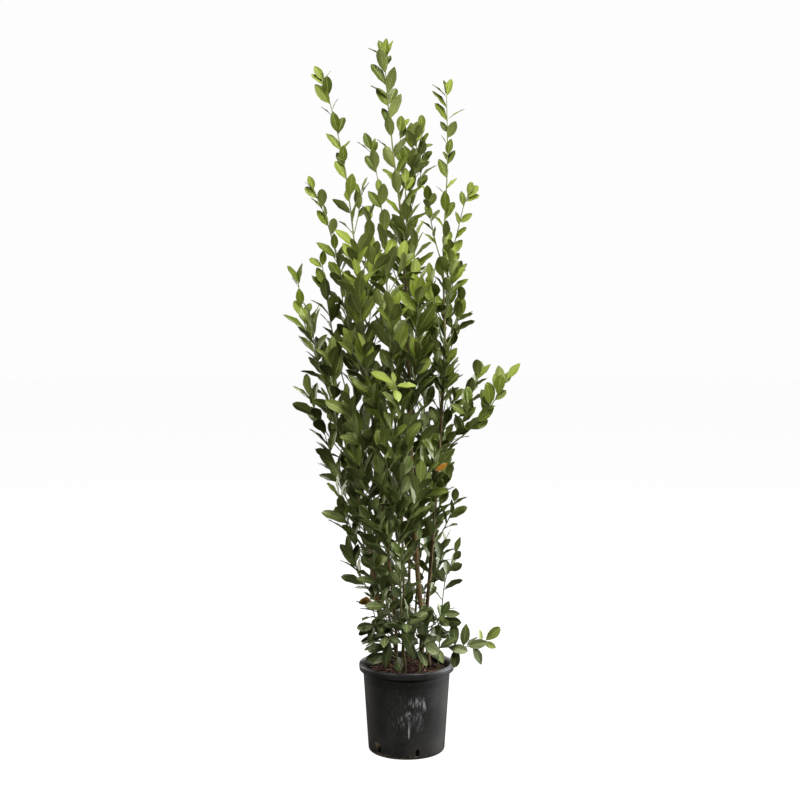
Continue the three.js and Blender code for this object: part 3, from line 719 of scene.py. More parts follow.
# %% [markdown]
# ## How the stems run
#
# A bay that is grown as a bush has several stems from one root. Each starts upright at its own place in the
# soil, fans out a little, and carries shoots that leave it outwards and turn up to the light. The table
# gives every stem's foot and the points it passes, and where each shoot leaves it and ends, all in
# millimetres. It is the same table that the solids grew from, so that the finer stems lie where they do.
# `more_shoots` are the ones that the solids leave out.

# %% The table of stems
@dataclass
class Stem:
    name: str
    radius: float  # at the soil
    bare: float  # how far up from the soil it has no leaves
    leaf: float  # how long a grown leaf is
    way: list
    shoots: list = field(default_factory=list)
    more_shoots: list = field(default_factory=list)
    leaf_every: int = 0  # its own rule for how many nodes share a leaf in the solids


STEMS = [
    Stem(
        "stem_far_left", 4.2, 100, 74,
        [(-45, -20), (-72, -28, 356), (-116, -30, 620), (-168, -20, 850), (-238, -10, 1055), (-278, -5, 1175),
         (-293, 0, 1280)],
        [(330, -98, -50, 428), (420, -148, -35, 545), (540, -182, -50, 710), (690, -222, -15, 868),
         (800, -262, -40, 975), (900, -200, -105, 1080), (990, -255, -70, 1180)],
        [(285, -92, -20, 338), (310, -88, -75, 368), (500, -172, 5, 645), (640, -212, 25, 795),
         (860, -230, 45, 1075)],
    ),
    Stem(
        "stem_left", 4.6, 150, 68,
        [(-52, 35), (-78, 50, 411), (-118, 60, 680), (-145, 60, 985), (-162, 50, 1202), (-209, 35, 1417),
         (-252, 20, 1530)],
        [(400, -108, 75, 535), (600, -150, 125, 790), (900, -230, 45, 1325), (960, -165, 150, 1190),
         (1140, -192, 95, 1355)],
        [(280, -86, 50, 335), (390, -90, 110, 465), (480, -140, 95, 640), (700, -205, 110, 925)],
    ),
    Stem(
        "stem_left_tall", 4.8, 60, 76,
        [(-28, -40), (-30, -45, 356), (-55, -50, 590), (-90, -45, 890), (-113, -40, 1121), (-138, -35, 1365),
         (-165, -30, 1577), (-200, -25, 1735), (-224, -20, 1818)],
        [(280, -82, -75, 342), (330, -80, -95, 430), (520, -105, -110, 650), (760, -155, -125, 955),
         (880, -110, -150, 1095), (1060, -128, -120, 1285), (1250, -98, -25, 1455), (1400, -122, 5, 1525)],
        [(262, -60, -98, 312), (300, -58, -128, 342), (350, -88, -100, 440), (400, -85, -95, 520),
         (640, -125, -120, 800), (1180, -85, -95, 1345)],
    ),
    Stem(
        "stem_middle_front", 4, 90, 80,
        [(-12, -5), (-8, -25, 411), (-15, -60, 680), (-35, -85, 958), (-50, -80, 1215), (-62, -60, 1417),
         (-81, -40, 1570), (-99, -30, 1635)],
        [(480, -50, -120, 610), (740, -40, -160, 900), (860, -98, -150, 1010), (1000, -35, -150, 1200)],
        [(300, -30, -62, 372), (345, -52, -90, 430), (400, -20, -105, 500), (620, -70, -150, 770)],
    ),
    Stem(
        "stem_tallest", 8.5, 330, 84,
        [(38, -8), (44, -5, 356), (33, 0, 450), (17, 0, 686), (10, 0, 900), (0, 0, 1202), (-13, 0, 1430),
         (-37, 0, 1630), (-53, 0, 1789), (-60, 0, 1882)],
        [(620, 50, -105, 790), (880, 25, -115, 1100), (1080, 22, -55, 1290), (1330, 0, -30, 1465)],
        [(300, 10, -60, 375), (1000, 30, -100, 1235), (1190, 24, -45, 1395)],
    ),
    Stem(
        "stem_middle_back", 4.6, 230, 74,
        [(5, 50), (8, 60, 500), (12, 70, 900), (5, 60, 1202), (2, 50, 1417), (12, 40, 1577), (18, 35, 1690)],
        [(460, -35, 110, 620), (600, -5, 130, 790), (980, -50, 140, 1225), (1200, -15, 95, 1395),
         (1480, -20, 25, 1700), (1520, 44, 30, 1698)],
        [(760, -25, 140, 960), (980, 35, 125, 1185), (1220, -30, 95, 1420), (1360, -4, -10, 1545),
         (1460, 52, 35, 1650), (1500, 28, 0, 1665)],
    ),
    Stem(
        "stem_right_tall", 6.2, 300, 60,
        [(62, 14), (54, 18, 342), (63, 20, 467), (82, 20, 713), (99, 15, 986), (104, 10, 1121), (99, 5, 1337),
         (109, 0, 1590), (107, 0, 1782)],
        [(320, 104, -45, 375), (450, 104, -35, 580), (560, 130, -35, 690), (690, 72, -115, 850),
         (815, 272, -25, 1020), (850, 194, 15, 1020), (1100, 66, -75, 1290), (1180, 124, -35, 1345)],
        [(275, 88, -50, 332), (330, 96, -75, 390), (300, 98, 30, 362), (640, 110, -20, 755),
         (930, 105, -95, 1090), (1320, 54, -15, 1512), (806, 168, -56, 950)],
    ),
    Stem(
        "stem_right", 4.6, 200, 60,
        [(40, 62), (62, 75, 420), (80, 85, 686), (97, 85, 960), (108, 75, 1175), (114, 60, 1310),
         (140, 50, 1420), (157, 45, 1490), (178, 40, 1535)],
        [(400, 96, 80, 515), (700, 112, 110, 855), (1040, 148, 20, 1230), (1200, 134, 15, 1340)],
        [(290, 84, 66, 355), (330, 50, 110, 420), (560, 100, 110, 700), (880, 122, 100, 1045)],
    ),
    Stem(
        "stem_back_left", 4, 120, 76,
        [(-25, 75), (-60, 95, 420), (-95, 120, 720), (-110, 130, 960), (-105, 125, 1150), (-85, 110, 1320)],
        [(400, -60, 150, 560), (680, -155, 165, 870), (860, -60, 185, 1050)],
        [(265, -62, 112, 320), (300, -18, 130, 372), (560, -60, 160, 720)],
    ),
    Stem(
        "stem_back_right", 4, 120, 76,
        [(15, 88), (30, 110, 420), (44, 130, 720), (52, 135, 960), (62, 120, 1225)],
        [(420, 70, 150, 570), (700, 88, 175, 880), (880, 10, 185, 1070)],
        [(262, 48, 124, 320), (305, -4, 138, 385), (560, 5, 165, 720)],
    ),
    Stem(
        "stem_front", 3.4, 45, 72,
        [(-2, -72), (-15, -95, 400), (-20, -120, 650), (-8, -132, 850), (-31, -145, 1010)],
        [(262, -48, -108, 312), (275, 52, -112, 330), (300, -8, -150, 390), (330, -50, -115, 420),
         (440, -12, -150, 570), (600, 36, -165, 760), (700, -62, -175, 850)],
        [(310, -70, -120, 350), (340, 4, -165, 400), (370, -66, -130, 430), (500, -75, -140, 640)],
    ),
    Stem(
        "stem_low_right", 2.4, 110, 54,
        [(84, -20), (93, -25, 350), (104, -28, 467), (134, -30, 550)],
        leaf_every=2,
    ),
    Stem(
        "stem_trailing", 2.6, math.inf, 68,
        [(32, -80), (38, -82, 262), (66, -80, 293), (116, -75, 300), (165, -72, 300), (212, -70, 315)],
    ),
]
print("stems:", len(STEMS))

# %% [markdown]
# ## Leaves given one by one
#
# Most leaves follow a rule further on. The ones that stand free against the light are what one knows this
# plant by: every tip, the long branch on the right, and the shoot that trails over the rim. So are the
# bright sprig in front, a few large leaves that catch the eye in the middle, and the low cluster above the
# soil. Each of those leaves has a row of its own, under the name of its stem, or of its stem and the height
# where its shoot leaves it. The first table is the solids' own, the second adds to it.

# %% The tables of set leaves
SET_LEAVES = {
    # from the tip, then in degrees its lean to the right, its lean to the front and the turn of its face,
    # then its size, how young it is, and its tone from dark to light, which also paints how lit or shaded it
    # is
    "stem_far_left": [
        (10, -24, 5, 62, 60, 0, 0.1), (12, 3, 0, -56, 62, 0, 0), (70, -5, 20, 5, 52, 0, 0.35),
        (100, -25, 5, 20, 52, 0, 0.4), (102, 25, 5, -20, 46, 0, 0.2),
    ],
    "stem_left": [
        (4, -20, 5, 10, 42, 0.2, 0.6), (30, -45, 5, 15, 48, 0.2, 0.8), (58, 2, 18, 178, 56, 0, 0.7),
        (118, -31, 5, 30, 56, 0, 0.5), (140, 12, 10, 178, 50, 0, 0.95), (178, -2, 15, 10, 48, 0, 0.2),
    ],
    "stem_left 900": [
        (4, 4, 10, 5, 46, 0.1, 0.5), (8, -50, 5, 35, 46, 0.1, 0.6), (56, -22, 5, 15, 56, 0, 0.3),
    ],
    "stem_left_tall": [
        (8, -30, 5, 15, 47, 0.2, 0.6), (24, -44, 5, 50, 50, 0.1, 0.7), (52, -3, 25, 5, 54, 0, 0.3),
        (80, -37, 10, 5, 68, 0.1, 0.6), (155, -11, 20, 10, 60, 0, 0.45), (205, -35, 0, 42, 66, 0.1, 0.6),
        (236, -3, 25, -10, 50, 0.25, 0.7), (282, -27, 5, 30, 60, 0.1, 0.65), (328, 9, 20, 0, 65, 0, 0.7),
    ],
    "stem_middle_front": [
        (10, -18, 10, 10, 50, 0, 0.1), (74, -8, 20, 175, 62, 0.1, 0.7), (82, -28, 0, 25, 58, 0, 0),
        (168, 8, 20, 178, 66, 0.1, 0.8), (174, -35, 5, 15, 60, 0, 0.05), (245, 3, 20, 175, 76, 0, 0.75),
    ],
    "stem_tallest": [
        (8, 2, 8, -30, 54, 0.35, 0.5), (16, 16, 5, -58, 60, 0.5, 0.9), (10, -49, 0, 84, 54, 0.1, 0.6),
        (52, -13, 12, 168, 70, 0, 0.6), (88, -30, 0, 35, 75, 0, 0.05), (110, 15, 15, -172, 77, 0, 0.6),
        (142, -29, 5, 25, 62, 0, 0.5), (172, 21, 5, -150, 75, 0.1, 1), (222, -10, 20, 175, 64, 0.1, 0.7),
    ],
    "stem_middle_back": [
        (22, -7, 0, 0, 44, 0, 0), (52, 12, 10, 175, 76, 0, 0.6), (54, -8, 15, 0, 66, 0, 0.6),
        (106, -16, 10, 10, 66, 0, 0.4), (112, 8, 20, 175, 68, 0.1, 0.7), (172, 7, 12, 0, 70, 0, 0),
        (208, 15, 15, 175, 52, 0, 1),
    ],
    "stem_middle_back 1480": [
        (20, 5, 5, 0, 48, 0, 0.6), (22, 25, 0, -50, 50, 0.1, 1), (105, -14, 10, 5, 60, 0, 0.4),
    ],
    "stem_middle_back 1520": [(12, -4, 10, 0, 44, 0.1, 0.6)],
    "stem_right_tall": [
        (10, 11, 8, -30, 50, 0.6, 0.8), (42, -33, 0, 60, 64, 0, 0.5), (72, 51, 0, -82, 58, 0.3, 1),
        (76, -29, 8, 45, 59, 0.1, 0.5), (122, 25, 15, -172, 54, 0.1, 0.9), (172, 11, 10, -12, 47, 0, 0.4),
        (198, 23, 0, -35, 46, 0, 0.1), (233, -19, 5, 25, 58, 0, 0.25), (318, -1, 20, 0, 61, 0, 0.3),
    ],
    "stem_right_tall 815": [
        (6, 34, 10, -40, 58, 0.4, 0.6), (20, 25, -15, -10, 42, 0.1, 0.3), (56, 9, 15, 0, 58, 0.15, 0.45),
        (72, 46, 10, -20, 43, 0.1, 0.25), (90, -8, 15, 10, 60, 0.1, 0.45), (150, 43, 12, -10, 68, 0, 0.3),
        (176, 60, 10, -15, 56, 0, 0.15), (202, -17, 5, 15, 58, 0, 0),
    ],
    "stem_right_tall 850": [(2, -3, 12, 172, 55, 0.1, 0.7), (6, 36, 0, -52, 56, 0.1, 0.6)],
    "stem_right": [
        (26, 16, 8, 0, 40, 0.3, 0.7), (34, 40, 5, -20, 48, 0.3, 0.6), (58, -6, 5, 20, 44, 0, 0.5),
        (104, 52, 5, -8, 44, 0.2, 0.6), (150, 36, 0, -50, 46, 0, 0.5), (192, 34, 5, -15, 52, 0.3, 0.9),
        (226, 34, 5, -20, 50, 0.1, 0.6),
    ],
    "stem_front": [
        (3, -58, 14, 50, 72, 0.75, 0.4), (7, 84, 18, -60, 58, 0.7, 0.4), (16, 165, 53, -17, 46, 0.4, 0.5),
        (1, -11, -6, 19, 32, 0.8, 0.8), (28, -33, -20, 27, 50, 0.6, 0.5),
    ],
    "stem_trailing": [
        (2, 46, 9, 1, 56, 0.95, 0.6), (7, 112, 17, -15, 38, 0.95, 0.5), (14, 1, -10, 40, 36, 0.9, 0.5),
        (36, 152, 17, -30, 56, 0.05, 0.4), (52, 72, 16, -28, 60, 0.1, 0.4), (62, 8, 7, 7, 64, 0.1, 0.35),
        (80, -173, 19, 8, 56, 0.1, 0.3), (84, -4, -5, -14, 60, 0.05, 0.2), (104, 93, 24, -38, 58, 0, 0.3),
        (124, 55, 13, -48, 58, 0, 0.3), (128, 156, 40, -12, 46, 0.35, 0.9), (150, 114, 58, -58, 46, 0, 0.6),
        (52, 48, -43, -74, 50, 0, 0.5), (98, 135, -67, -139, 50, 0, 0.5),
    ],
}
MORE_SET_LEAVES = {
    "stem_far_left 310": [(8, -162, 10, 50, 56, 0, 0.2)],
    "stem_left_tall 400": [(2, 38, 10, -20, 52, 1, 0.9)],
    "stem_left_tall 880": [(44, -16, 15, 10, 80, 0, 0.35), (48, 14, 10, 0, 66, 0, 0.6)],
    "stem_middle_front 740": [(98, 38, 12, -8, 84, 0, 0.75)],
    "stem_middle_front 860": [(70, -18, 10, 0, 88, 0, 0.4), (108, -42, 12, 0, 80, 0, 0.55)],
    "stem_middle_front 1000": [(137, 18, 5, 0, 106, 0, 0.75)],
    "stem_tallest 880": [(30, -8, 12, 5, 64, 0, 0.65), (76, 40, 15, -10, 62, 0, 0.8)],
    "stem_tallest 1000": [(20, -8, 10, 5, 84, 0, 0.7), (100, 34, 10, 10, 98, 0, 0)],
    "stem_front": [(575, -28, 50, 5, 60, 0, 0.9), (600, 132, 22, 10, 72, 0, 1)],
    "stem_front 275": [(8, 130, 15, -10, 52, 0, 0.6), (20, 3, 20, 10, 60, 0, 0.85)],
    "stem_front 300": [(40, 158, 12, 15, 80, 0, 0.7)],
    "stem_front 310": [(38, -168, 12, 20, 76, 0, 0.25)],
    "stem_front 370": [(70, -126, 20, 10, 72, 0, 0.8), (84, 147, 25, 50, 62, 0, 1)],
    "stem_right_tall 330": [
        (2, 86, 10, -20, 48, 0, 0.1), (14, 28, 10, 10, 48, 0, 0.15), (30, 96, 20, 0, 62, 0, 0.1),
        (92, 118, 15, -10, 60, 0, 0.5),
    ],
    "stem_right_tall 690": [(90, 60, 10, 32, 40, 0, 0.5)],
    "stem_far_left": [(20, -28, 0, 85, 36, 0, 0.3)],
    "stem_left": [(6, -40, 0, 85, 36, 0, 0.2), (62, -38, 0, 72, 46, 0, 0.2), (90, -2, 0, 60, 38, 0, 0.1)],
    "stem_left 900": [(72, -36, 0, 45, 60, 0, 0)],
    "stem_left_tall": [
        (1380, -74, 20, 10, 60, 0, 0.9), (6, 3, 0, 80, 24, 0.3, 0.5), (14, 21, 0, -80, 38, 0.1, 0.8),
        (57, -21, -10, 70, 42, 0, 0), (98, 18, 0, -84, 40, 0, 0.4), (115, -42, 0, 86, 46, 0, 0.3),
        (160, 12, -15, -30, 57, 0, 0), (208, 28, 0, -65, 40, 0.1, 0.6), (244, -25, -10, 20, 48, 0, 0),
    ],
    "stem_middle_front": [
        (1240, 28, 30, 0, 56, 0, 0.1), (16, 10, 0, -50, 40, 0.1, 0.6), (22, -43, 0, 86, 52, 0, 0.3),
        (26, 14, -5, -30, 42, 0, 0.1), (136, -4, 0, 15, 44, 0, 0.3),
    ],
    "stem_tallest": [
        (2, -17, 0, 20, 46, 0, 0.1), (32, 18, -25, -20, 46, 0, 0), (120, -47, 0, 86, 58, 0, 0.8),
        (138, 19, -15, -20, 58, 0, 0), (190, -20, -5, 30, 56, 0, 0), (270, -38, 0, 86, 64, 0, 0.2),
    ],
    "stem_middle_back": [
        (80, 42, 0, -20, 50, 0, 0.1), (160, 24, 0, -86, 52, 0, 0.4), (170, -25, 5, 20, 56, 0, 0.2),
    ],
    "stem_middle_back 1480": [(35, 20, 0, 0, 40, 0, 0)],
    "stem_middle_back 1520": [(60, 65, 5, -50, 38, 0, 0.4)],
    "stem_right_tall": [
        (559, -62, 15, 10, 62, 0, 0.7), (730, 38, 15, 0, 56, 0, 0.9), (791, 24, 30, 0, 70, 0, 0.85),
        (4, -6, 0, 55, 41, 0, 0), (12, -41, 0, 86, 54, 0, 0.4), (106, -31, 12, 10, 36, 0, 0),
        (145, -23, 0, 86, 35, 0, 0.8), (188, -18, 0, 50, 30, 0, 0.4), (258, 38, 0, -60, 43, 0.1, 1),
        (275, -37, 0, 84, 40, 0, 0.8),
    ],
    "stem_right_tall 806": [
        (4, -9, 5, 15, 52, 0, 0.3), (8, 3, 0, 45, 56, 0, 0.3), (30, -52, 18, 25, 52, 0, 0.2),
    ],
    "stem_right_tall 815": [
        (46, -14, 8, 10, 54, 0.2, 0.6), (74, -20, 5, 0, 56, 0.1, 0.5), (30, -10, -15, 180, 62, 0, 1),
        (102, -14, -10, 20, 60, 0, 0), (118, 6, 8, -10, 54, 0, 0.05), (106, 53, 15, -84, 30, 0.1, 0.8),
        (180, 27, 20, -150, 52, 0, 0.9), (196, 24, 15, 0, 40, 0, 0.4),
    ],
    "stem_right_tall 850": [(10, 14, -12, 0, 60, 0, 0.2)],
    "stem_right_tall 1320": [
        (20, -3, 40, 5, 50, 0, 0.3), (34, 25, 20, 178, 44, 0, 1), (70, -14, 5, 15, 48, 0, 0.4),
    ],
    "stem_right": [(44, 60, 5, -40, 44, 0.3, 0.5), (112, -8, 0, 45, 40, 0, 0.4)],
}
BELOW_SET_LEAVES = 14  # where the leaves by rule begin
print("leaves set by hand:", sum(len(rows) for t in (SET_LEAVES, MORE_SET_LEAVES) for rows in t.values()))

# %% [markdown]
# ## The curves between the points
#
# A stem runs smoothly through its points, and a shoot bends once, so each gets a curve: a spline through
# the points, and an arc pulled towards one turning point. The solids follow straight pieces of the same
# curves, and the leaves are counted along those pieces. An axis therefore keeps both: its corners,
# which say how long it is, and its curve, on which the finer stem and the leaves' roots lie.

# %% Curves and axes
TIP_RADIUS = 1.1


def length_of(vector):
    return math.sqrt(sum(vector**2))


def unit(vector):
    return vector / length_of(vector)


@dataclass
class Axis:
    name: str
    corners: np.ndarray
    curve: object  # share of the curve, from 0 to 1, to a point
    curve_from: int  # the corner where the curve starts
    root_radius: float
    leaf_from: float
    spacing: float
    leaf: float
    leaf_every: int = 0
    number: int = 0
    start_angle: float = 0
    nodes: list = field(default_factory=list)

    def __post_init__(self):
        steps = [length_of(b - a) for a, b in zip(self.corners, self.corners[1:])]
        self.lengths = [0, *accumulate(steps)]
        self.length = self.lengths[-1]
        rows = SET_LEAVES.get(self.name)
        self.bud = max(row[0] for row in rows) + BELOW_SET_LEAVES if rows else 0

    def radius_at(self, length):
        return self.root_radius + (TIP_RADIUS - self.root_radius) * length / self.length

    def piece_at(self, length):
        """The corner that ends the straight piece at this length, and the share of the piece before it."""
        i = 1
        while i < len(self.corners) - 1 and self.lengths[i] < length:
            i += 1
        return i, (length - self.lengths[i - 1]) / (self.lengths[i] - self.lengths[i - 1])

    def along(self, length):
        """The point at a length along the straight pieces, and the direction there."""
        i, share = self.piece_at(length)
        way = self.corners[i] - self.corners[i - 1]
        return self.corners[i - 1] + way * share, unit(way)

    def at_height(self, height):
        """The corner that ends the straight piece at this height, and the point there."""
        i = 1
        while i < len(self.corners) - 1 and self.corners[i][2] < height:
            i += 1
        low, high = self.corners[i - 1], self.corners[i]
        return i, low + (high - low) * ((height - low[2]) / (high[2] - low[2]))

    def on_curve(self, i, share):
        """The point of the curve beside a share of the straight piece that ends at corner i."""
        if i <= self.curve_from:
            return self.corners[i - 1] + (self.corners[i] - self.corners[i - 1]) * share
        return self.curve((i - 1 - self.curve_from + share) / (len(self.corners) - 1 - self.curve_from))


def spline(points):
    """A smooth curve through points."""

    def curve(share):
        last = len(points) - 1
        place = last * share
        i = min(int(place), last - 1)
        t = place - i
        p1, p2 = points[i], points[i + 1]
        p0 = points[i - 1] if i > 0 else p1 - p2 + p1
        p3 = points[i + 2] if i + 2 <= last else p2 - p1 + p2
        t0, t1 = 0.5 * (p2 - p0), 0.5 * (p3 - p1)
        return p1 + t0 * t + (-3 * p1 + 3 * p2 - 2 * t0 - t1) * t**2 + (2 * p1 - 2 * p2 + t0 + t1) * t**3

    return curve


def arc_by(start, turn, end):
    """A curve that leaves start towards turn and then bends to the end."""
    return lambda t: (1 - t) ** 2 * start + 2 * (1 - t) * t * turn + t**2 * end


# %% The axes of stems and shoots
BURIED = 70  # of a stem, in the soil
COLLAR = 16  # straight out of the soil
STEM_STEP = 160  # how long the straight pieces are, about
SHOOT_STEP = 90
STEM_SPACING = 27  # from node to node
SHOOT_SPACING = 21
SHOOT_BARE = 0.3  # of its length
SHOOT_TURN = {"out": 0.65, "up": 0.35}
SHOOT_RADIUS = {"least": 1.4, "per_length": 0.003, "most_of_stem": 0.75}
SHOOT_LEAF = 0.95  # of the size of its stem's leaves


def half_up(value):
    return math.floor(value + 0.5)


def stem_axis(stem):
    (foot_x, foot_y), *above = stem.way
    above = [np.array(point, float) for point in above]
    foot = np.array([foot_x, foot_y, SOIL["top"]], float)
    lean = (above[0] - foot) / (above[0] - foot)[2]
    curve = spline([foot + lean * COLLAR, *above])
    pieces = half_up((above[-1][2] - SOIL["top"]) / STEM_STEP) + 2
    corners = np.array([foot + lean * -BURIED, *(curve(i / pieces) for i in range(pieces + 1))])
    bare = BURIED + stem.bare
    return Axis(stem.name, corners, curve, 1, stem.radius, bare, STEM_SPACING, stem.leaf, stem.leaf_every)


def shoot_axis(parent, shoot, leaf):
    height, *tip = shoot
    i, root = parent.at_height(height)
    end = np.array(tip, float)
    reach = end - root
    size = length_of(reach)
    out, up = SHOOT_TURN["out"], SHOOT_TURN["up"]
    curve = arc_by(root, root + np.array([out, out, up]) * reach, end)
    pieces = max(3, half_up(size / SHOOT_STEP))
    least, per_length, most = SHOOT_RADIUS.values()
    radius = min(least + per_length * size, most * parent.radius_at(parent.lengths[i]))
    corners = np.array([curve(k / pieces) for k in range(pieces + 1)])
    name = f"{parent.name} {height:g}"
    return Axis(name, corners, curve, 0, radius, SHOOT_BARE * size, SHOOT_SPACING, SHOOT_LEAF * leaf)


main_axes = [stem_axis(stem) for stem in STEMS]
axes_of = {
    stem.name: [main, *(shoot_axis(main, shoot, stem.leaf) for shoot in stem.shoots)]
    for stem, main in zip(STEMS, main_axes)
}
solid_axes = [axis for axes in axes_of.values() for axis in axes]
metres = sum(axis.length for axis in solid_axes) * MM
print("axes in the solids:", len(solid_axes), "metres:", round(metres, 1))

# %% [markdown]
# ## Where the leaves stand
#
# Bay leaves stand one to a node, each about two fifths of a turn on from the last, and the nodes crowd
# together at the tip. Young leaves stand steep, close to the stem; older ones spread; and in the shade
# low down they spread widest. A seeded draw varies every one of them a little. Each leaf is described by
# where it is rooted and three directions: forward along the midrib, across it, and out of its upper face.

# %% Draws and the nodes of an axis
TURN = 137.5
BUD = 7  # from the tip to the first node
TIP_SPACING = 9
CROWDING = 2.5  # how much wider each gap is than the one above it
TOP = 420  # how far down from a tip the leaves stand steeper, and the solids have more of them
SHADE_TOP = 520
SHADE_DEPTH = 250
GROWN_AT = 4  # how many nodes down from the tip a leaf is full-grown
LIFT = {"young": 12, "grown": 22, "low": 8, "shade": 52, "chance": 9}
ROLL = 70
SIZE = {"young": 0.75, "grown": 1, "least": 0.87, "most": 1.12}
ARCH = {"young": 6, "grown": 14, "shade": 12, "chance": 18}
SIZE_AT_HEIGHT = ((250, 600, 1250, 1500), (0.95, 1.1, 1.1, 0.88))
TURN_CHANCE = 14
SPACING_CHANCE = 0.15
DRAW_FACTOR = 16807
DRAW_MODULUS = 2147483647
draw_state = 4711


def draw(low, high):
    """The next of a fixed row of chance numbers between low and high."""
    global draw_state
    draw_state = draw_state * DRAW_FACTOR % DRAW_MODULUS
    return low + (high - low) * draw_state / DRAW_MODULUS


def between(share, start, end):
    return start + share * (end - start)


def clamped(value):
    return min(1, max(0, value))


@dataclass
class Node:
    k: int  # how many nodes it is from the tip
    length: float
    angle: float
    lift: float
    roll: float
    size: float
    arch: float
    tried: bool = False


def nodes_of(axis):
    """The nodes of an axis from its tip down."""
    nodes = []
    length = axis.length - BUD
    k = 0
    while length > axis.leaf_from:
        height = axis.along(length)[0][2]
        age = clamped(k / GROWN_AT)
        low = clamped((axis.length - length) / TOP)
        shade = clamped((SHADE_TOP - height) / SHADE_DEPTH)
        angle = axis.start_angle + k * TURN + draw(-TURN_CHANCE, TURN_CHANCE)
        lift = between(age, LIFT["young"], LIFT["grown"]) + low * LIFT["low"] + shade * LIFT["shade"]
        lift += draw(-LIFT["chance"], LIFT["chance"])
        roll = draw(-ROLL, ROLL)
        size = axis.leaf * between(age, SIZE["young"], SIZE["grown"]) * draw(SIZE["least"], SIZE["most"])
        size *= np.interp(height, *SIZE_AT_HEIGHT)
        arch = between(age, ARCH["young"], ARCH["grown"]) + shade * ARCH["shade"] + draw(0, ARCH["chance"])
        if axis.length - length > axis.bud:
            nodes.append(Node(k, length, angle, lift, roll, size, arch))
        spread = 1 + draw(-SPACING_CHANCE, SPACING_CHANCE)
        length -= min(axis.spacing, TIP_SPACING + CROWDING * k) * spread
        k += 1
    return nodes


for number, axis in enumerate(solid_axes, 1):
    axis.number = number
    axis.start_angle = draw(0, 360)
print("a leaf's turn from the last:", TURN, "degrees")

# %% Describing one leaf
WIDTH = {"share": 0.46, "from": 20, "per_length": 0.12}
CORNERS = ((0, 0.36, 0.7, 1), (0, 1, 0.86, 0))
SKYWARD = 0.6  # how much the faces turn up to the light
PLACED_ARCH = 20
SAMPLE = 3


@dataclass
class Leaf:
    axis: Axis
    node: Node
    root: np.ndarray
    forward: np.ndarray
    face: np.ndarray
    size: float
    arch: float
    tone: float = 0.5
    young: float = 0
    deep: float = 0
    dry: float = 0
    outline: int = 0
    set_finish: tuple = ()

    def __post_init__(self):
        self.side = np.cross(self.forward, self.face)


def turned_about(vector, axis, angle):
    """The vector turned about an axis that is square to it."""
    return vector * math.cos(angle) + np.cross(axis, vector) * math.sin(angle)


def make_leaf(axis, node, turn, tilt, scale):
    """The leaf at a node, bent by turn and tilt in degrees and scaled."""
    at, direction = axis.along(node.length)
    u = unit(np.cross(direction, (0, 1, 0)))
    v = np.cross(direction, u)
    angle = math.radians(node.angle + turn)
    lift = math.radians(node.lift + tilt)
    out = u * math.cos(angle) + v * math.sin(angle)
    forward = direction * math.cos(lift) + out * math.sin(lift)
    inner = unit(-out + forward * sum(out * forward))
    skyward = np.array([0, 0, 1]) - forward * forward[2]
    face = turned_about(unit(inner + skyward * SKYWARD), forward, math.radians(node.roll))
    return Leaf(axis, node, at, forward, face, scale * node.size, math.radians(node.arch))


def placed_leaf(axis, row):
    """A listed leaf: it leans to the right and to the front, and its face is turned from the front."""
    from_tip, *degrees, size, young, tone = row
    lean, towards, turn = map(math.radians, degrees)
    level = math.cos(towards)
    forward = np.array([math.sin(lean) * level, -math.sin(towards), math.cos(lean) * level])
    front = unit(forward * forward[1] - np.array([0, 1, 0]))
    face = turned_about(front, forward, turn)
    node = Node(0, axis.length - from_tip, 0, 0, 0, size, PLACED_ARCH, tried=True)
    root = axis.along(node.length)[0]
    bend = math.radians(PLACED_ARCH)
    return Leaf(axis, node, root, forward, face, size, bend, set_finish=(young, tone))


def width_of(size):
    """A long leaf is hardly wider than a short one."""
    return min(WIDTH["share"] * size, WIDTH["from"] + WIDTH["per_length"] * size)


def samples_of(leaf, from_share):
    """Points all over a leaf, about three millimetres apart."""
    rows = math.ceil(leaf.size / SAMPLE)
    half = width_of(leaf.size) / 2
    points = []
    for i in range(math.ceil(from_share * rows), rows + 1):
        share = i / rows
        wide = half * np.interp(share, *CORNERS)
        columns = max(1, math.ceil(wide / SAMPLE))
        across = np.arange(-columns, columns + 1) * wide / columns
        bent = leaf.arch * share
        middle = leaf.root + leaf.forward * leaf.size * math.sin(bent) / leaf.arch
        middle = middle - leaf.face * leaf.size * (1 - math.cos(bent)) / leaf.arch
        points.append(middle + across[:, None] * leaf.side)
    return np.concatenate(points)


print("a leaf of 75 mm is", width_of(75), "mm wide")

# %% [markdown]
# ## Room for every leaf
#
# Leaves don't grow through each other or through a stem. Space is cut into small cubes, and every axis and
# leaf takes the cubes it passes, with a margin round them. A leaf that finds a cube taken is turned, lifted
# or made smaller until it is clear, and dropped if nothing helps, as a leaf without light would be.

# %% Cubes of space
CUBE = 6
CUBES = (160, 160, 360)  # how many, in x, y and z
FIRST_CUBE = (-80, -80, -10)  # the place of the first one, in cubes from the origin
FREE_SHARE = 0.3  # of a leaf's length from its root
POT_ROOM = 8
DODGES = [
    # the turn and the tilt in degrees, and the scale
    (0, 0, 1), (25, 5, 1), (-25, 5, 1), (0, 18, 1), (50, 8, 0.95), (-50, 8, 0.95), (20, -12, 0.9),
    (-20, -12, 0.9), (90, 10, 0.85), (-90, 10, 0.85), (0, 0, 0.7), (60, -8, 0.7), (-60, -8, 0.7),
]


def points_round(axis):
    points = []
    for length in np.arange(0, axis.length, SAMPLE):
        at, direction = axis.along(length)
        side = unit(np.cross(direction, (0, 1, 0)))
        front = np.cross(direction, side)
        radius = axis.radius_at(length)
        points += [at, at - side * radius, at - front * radius, at + side * radius, at + front * radius]
    return np.array(points)


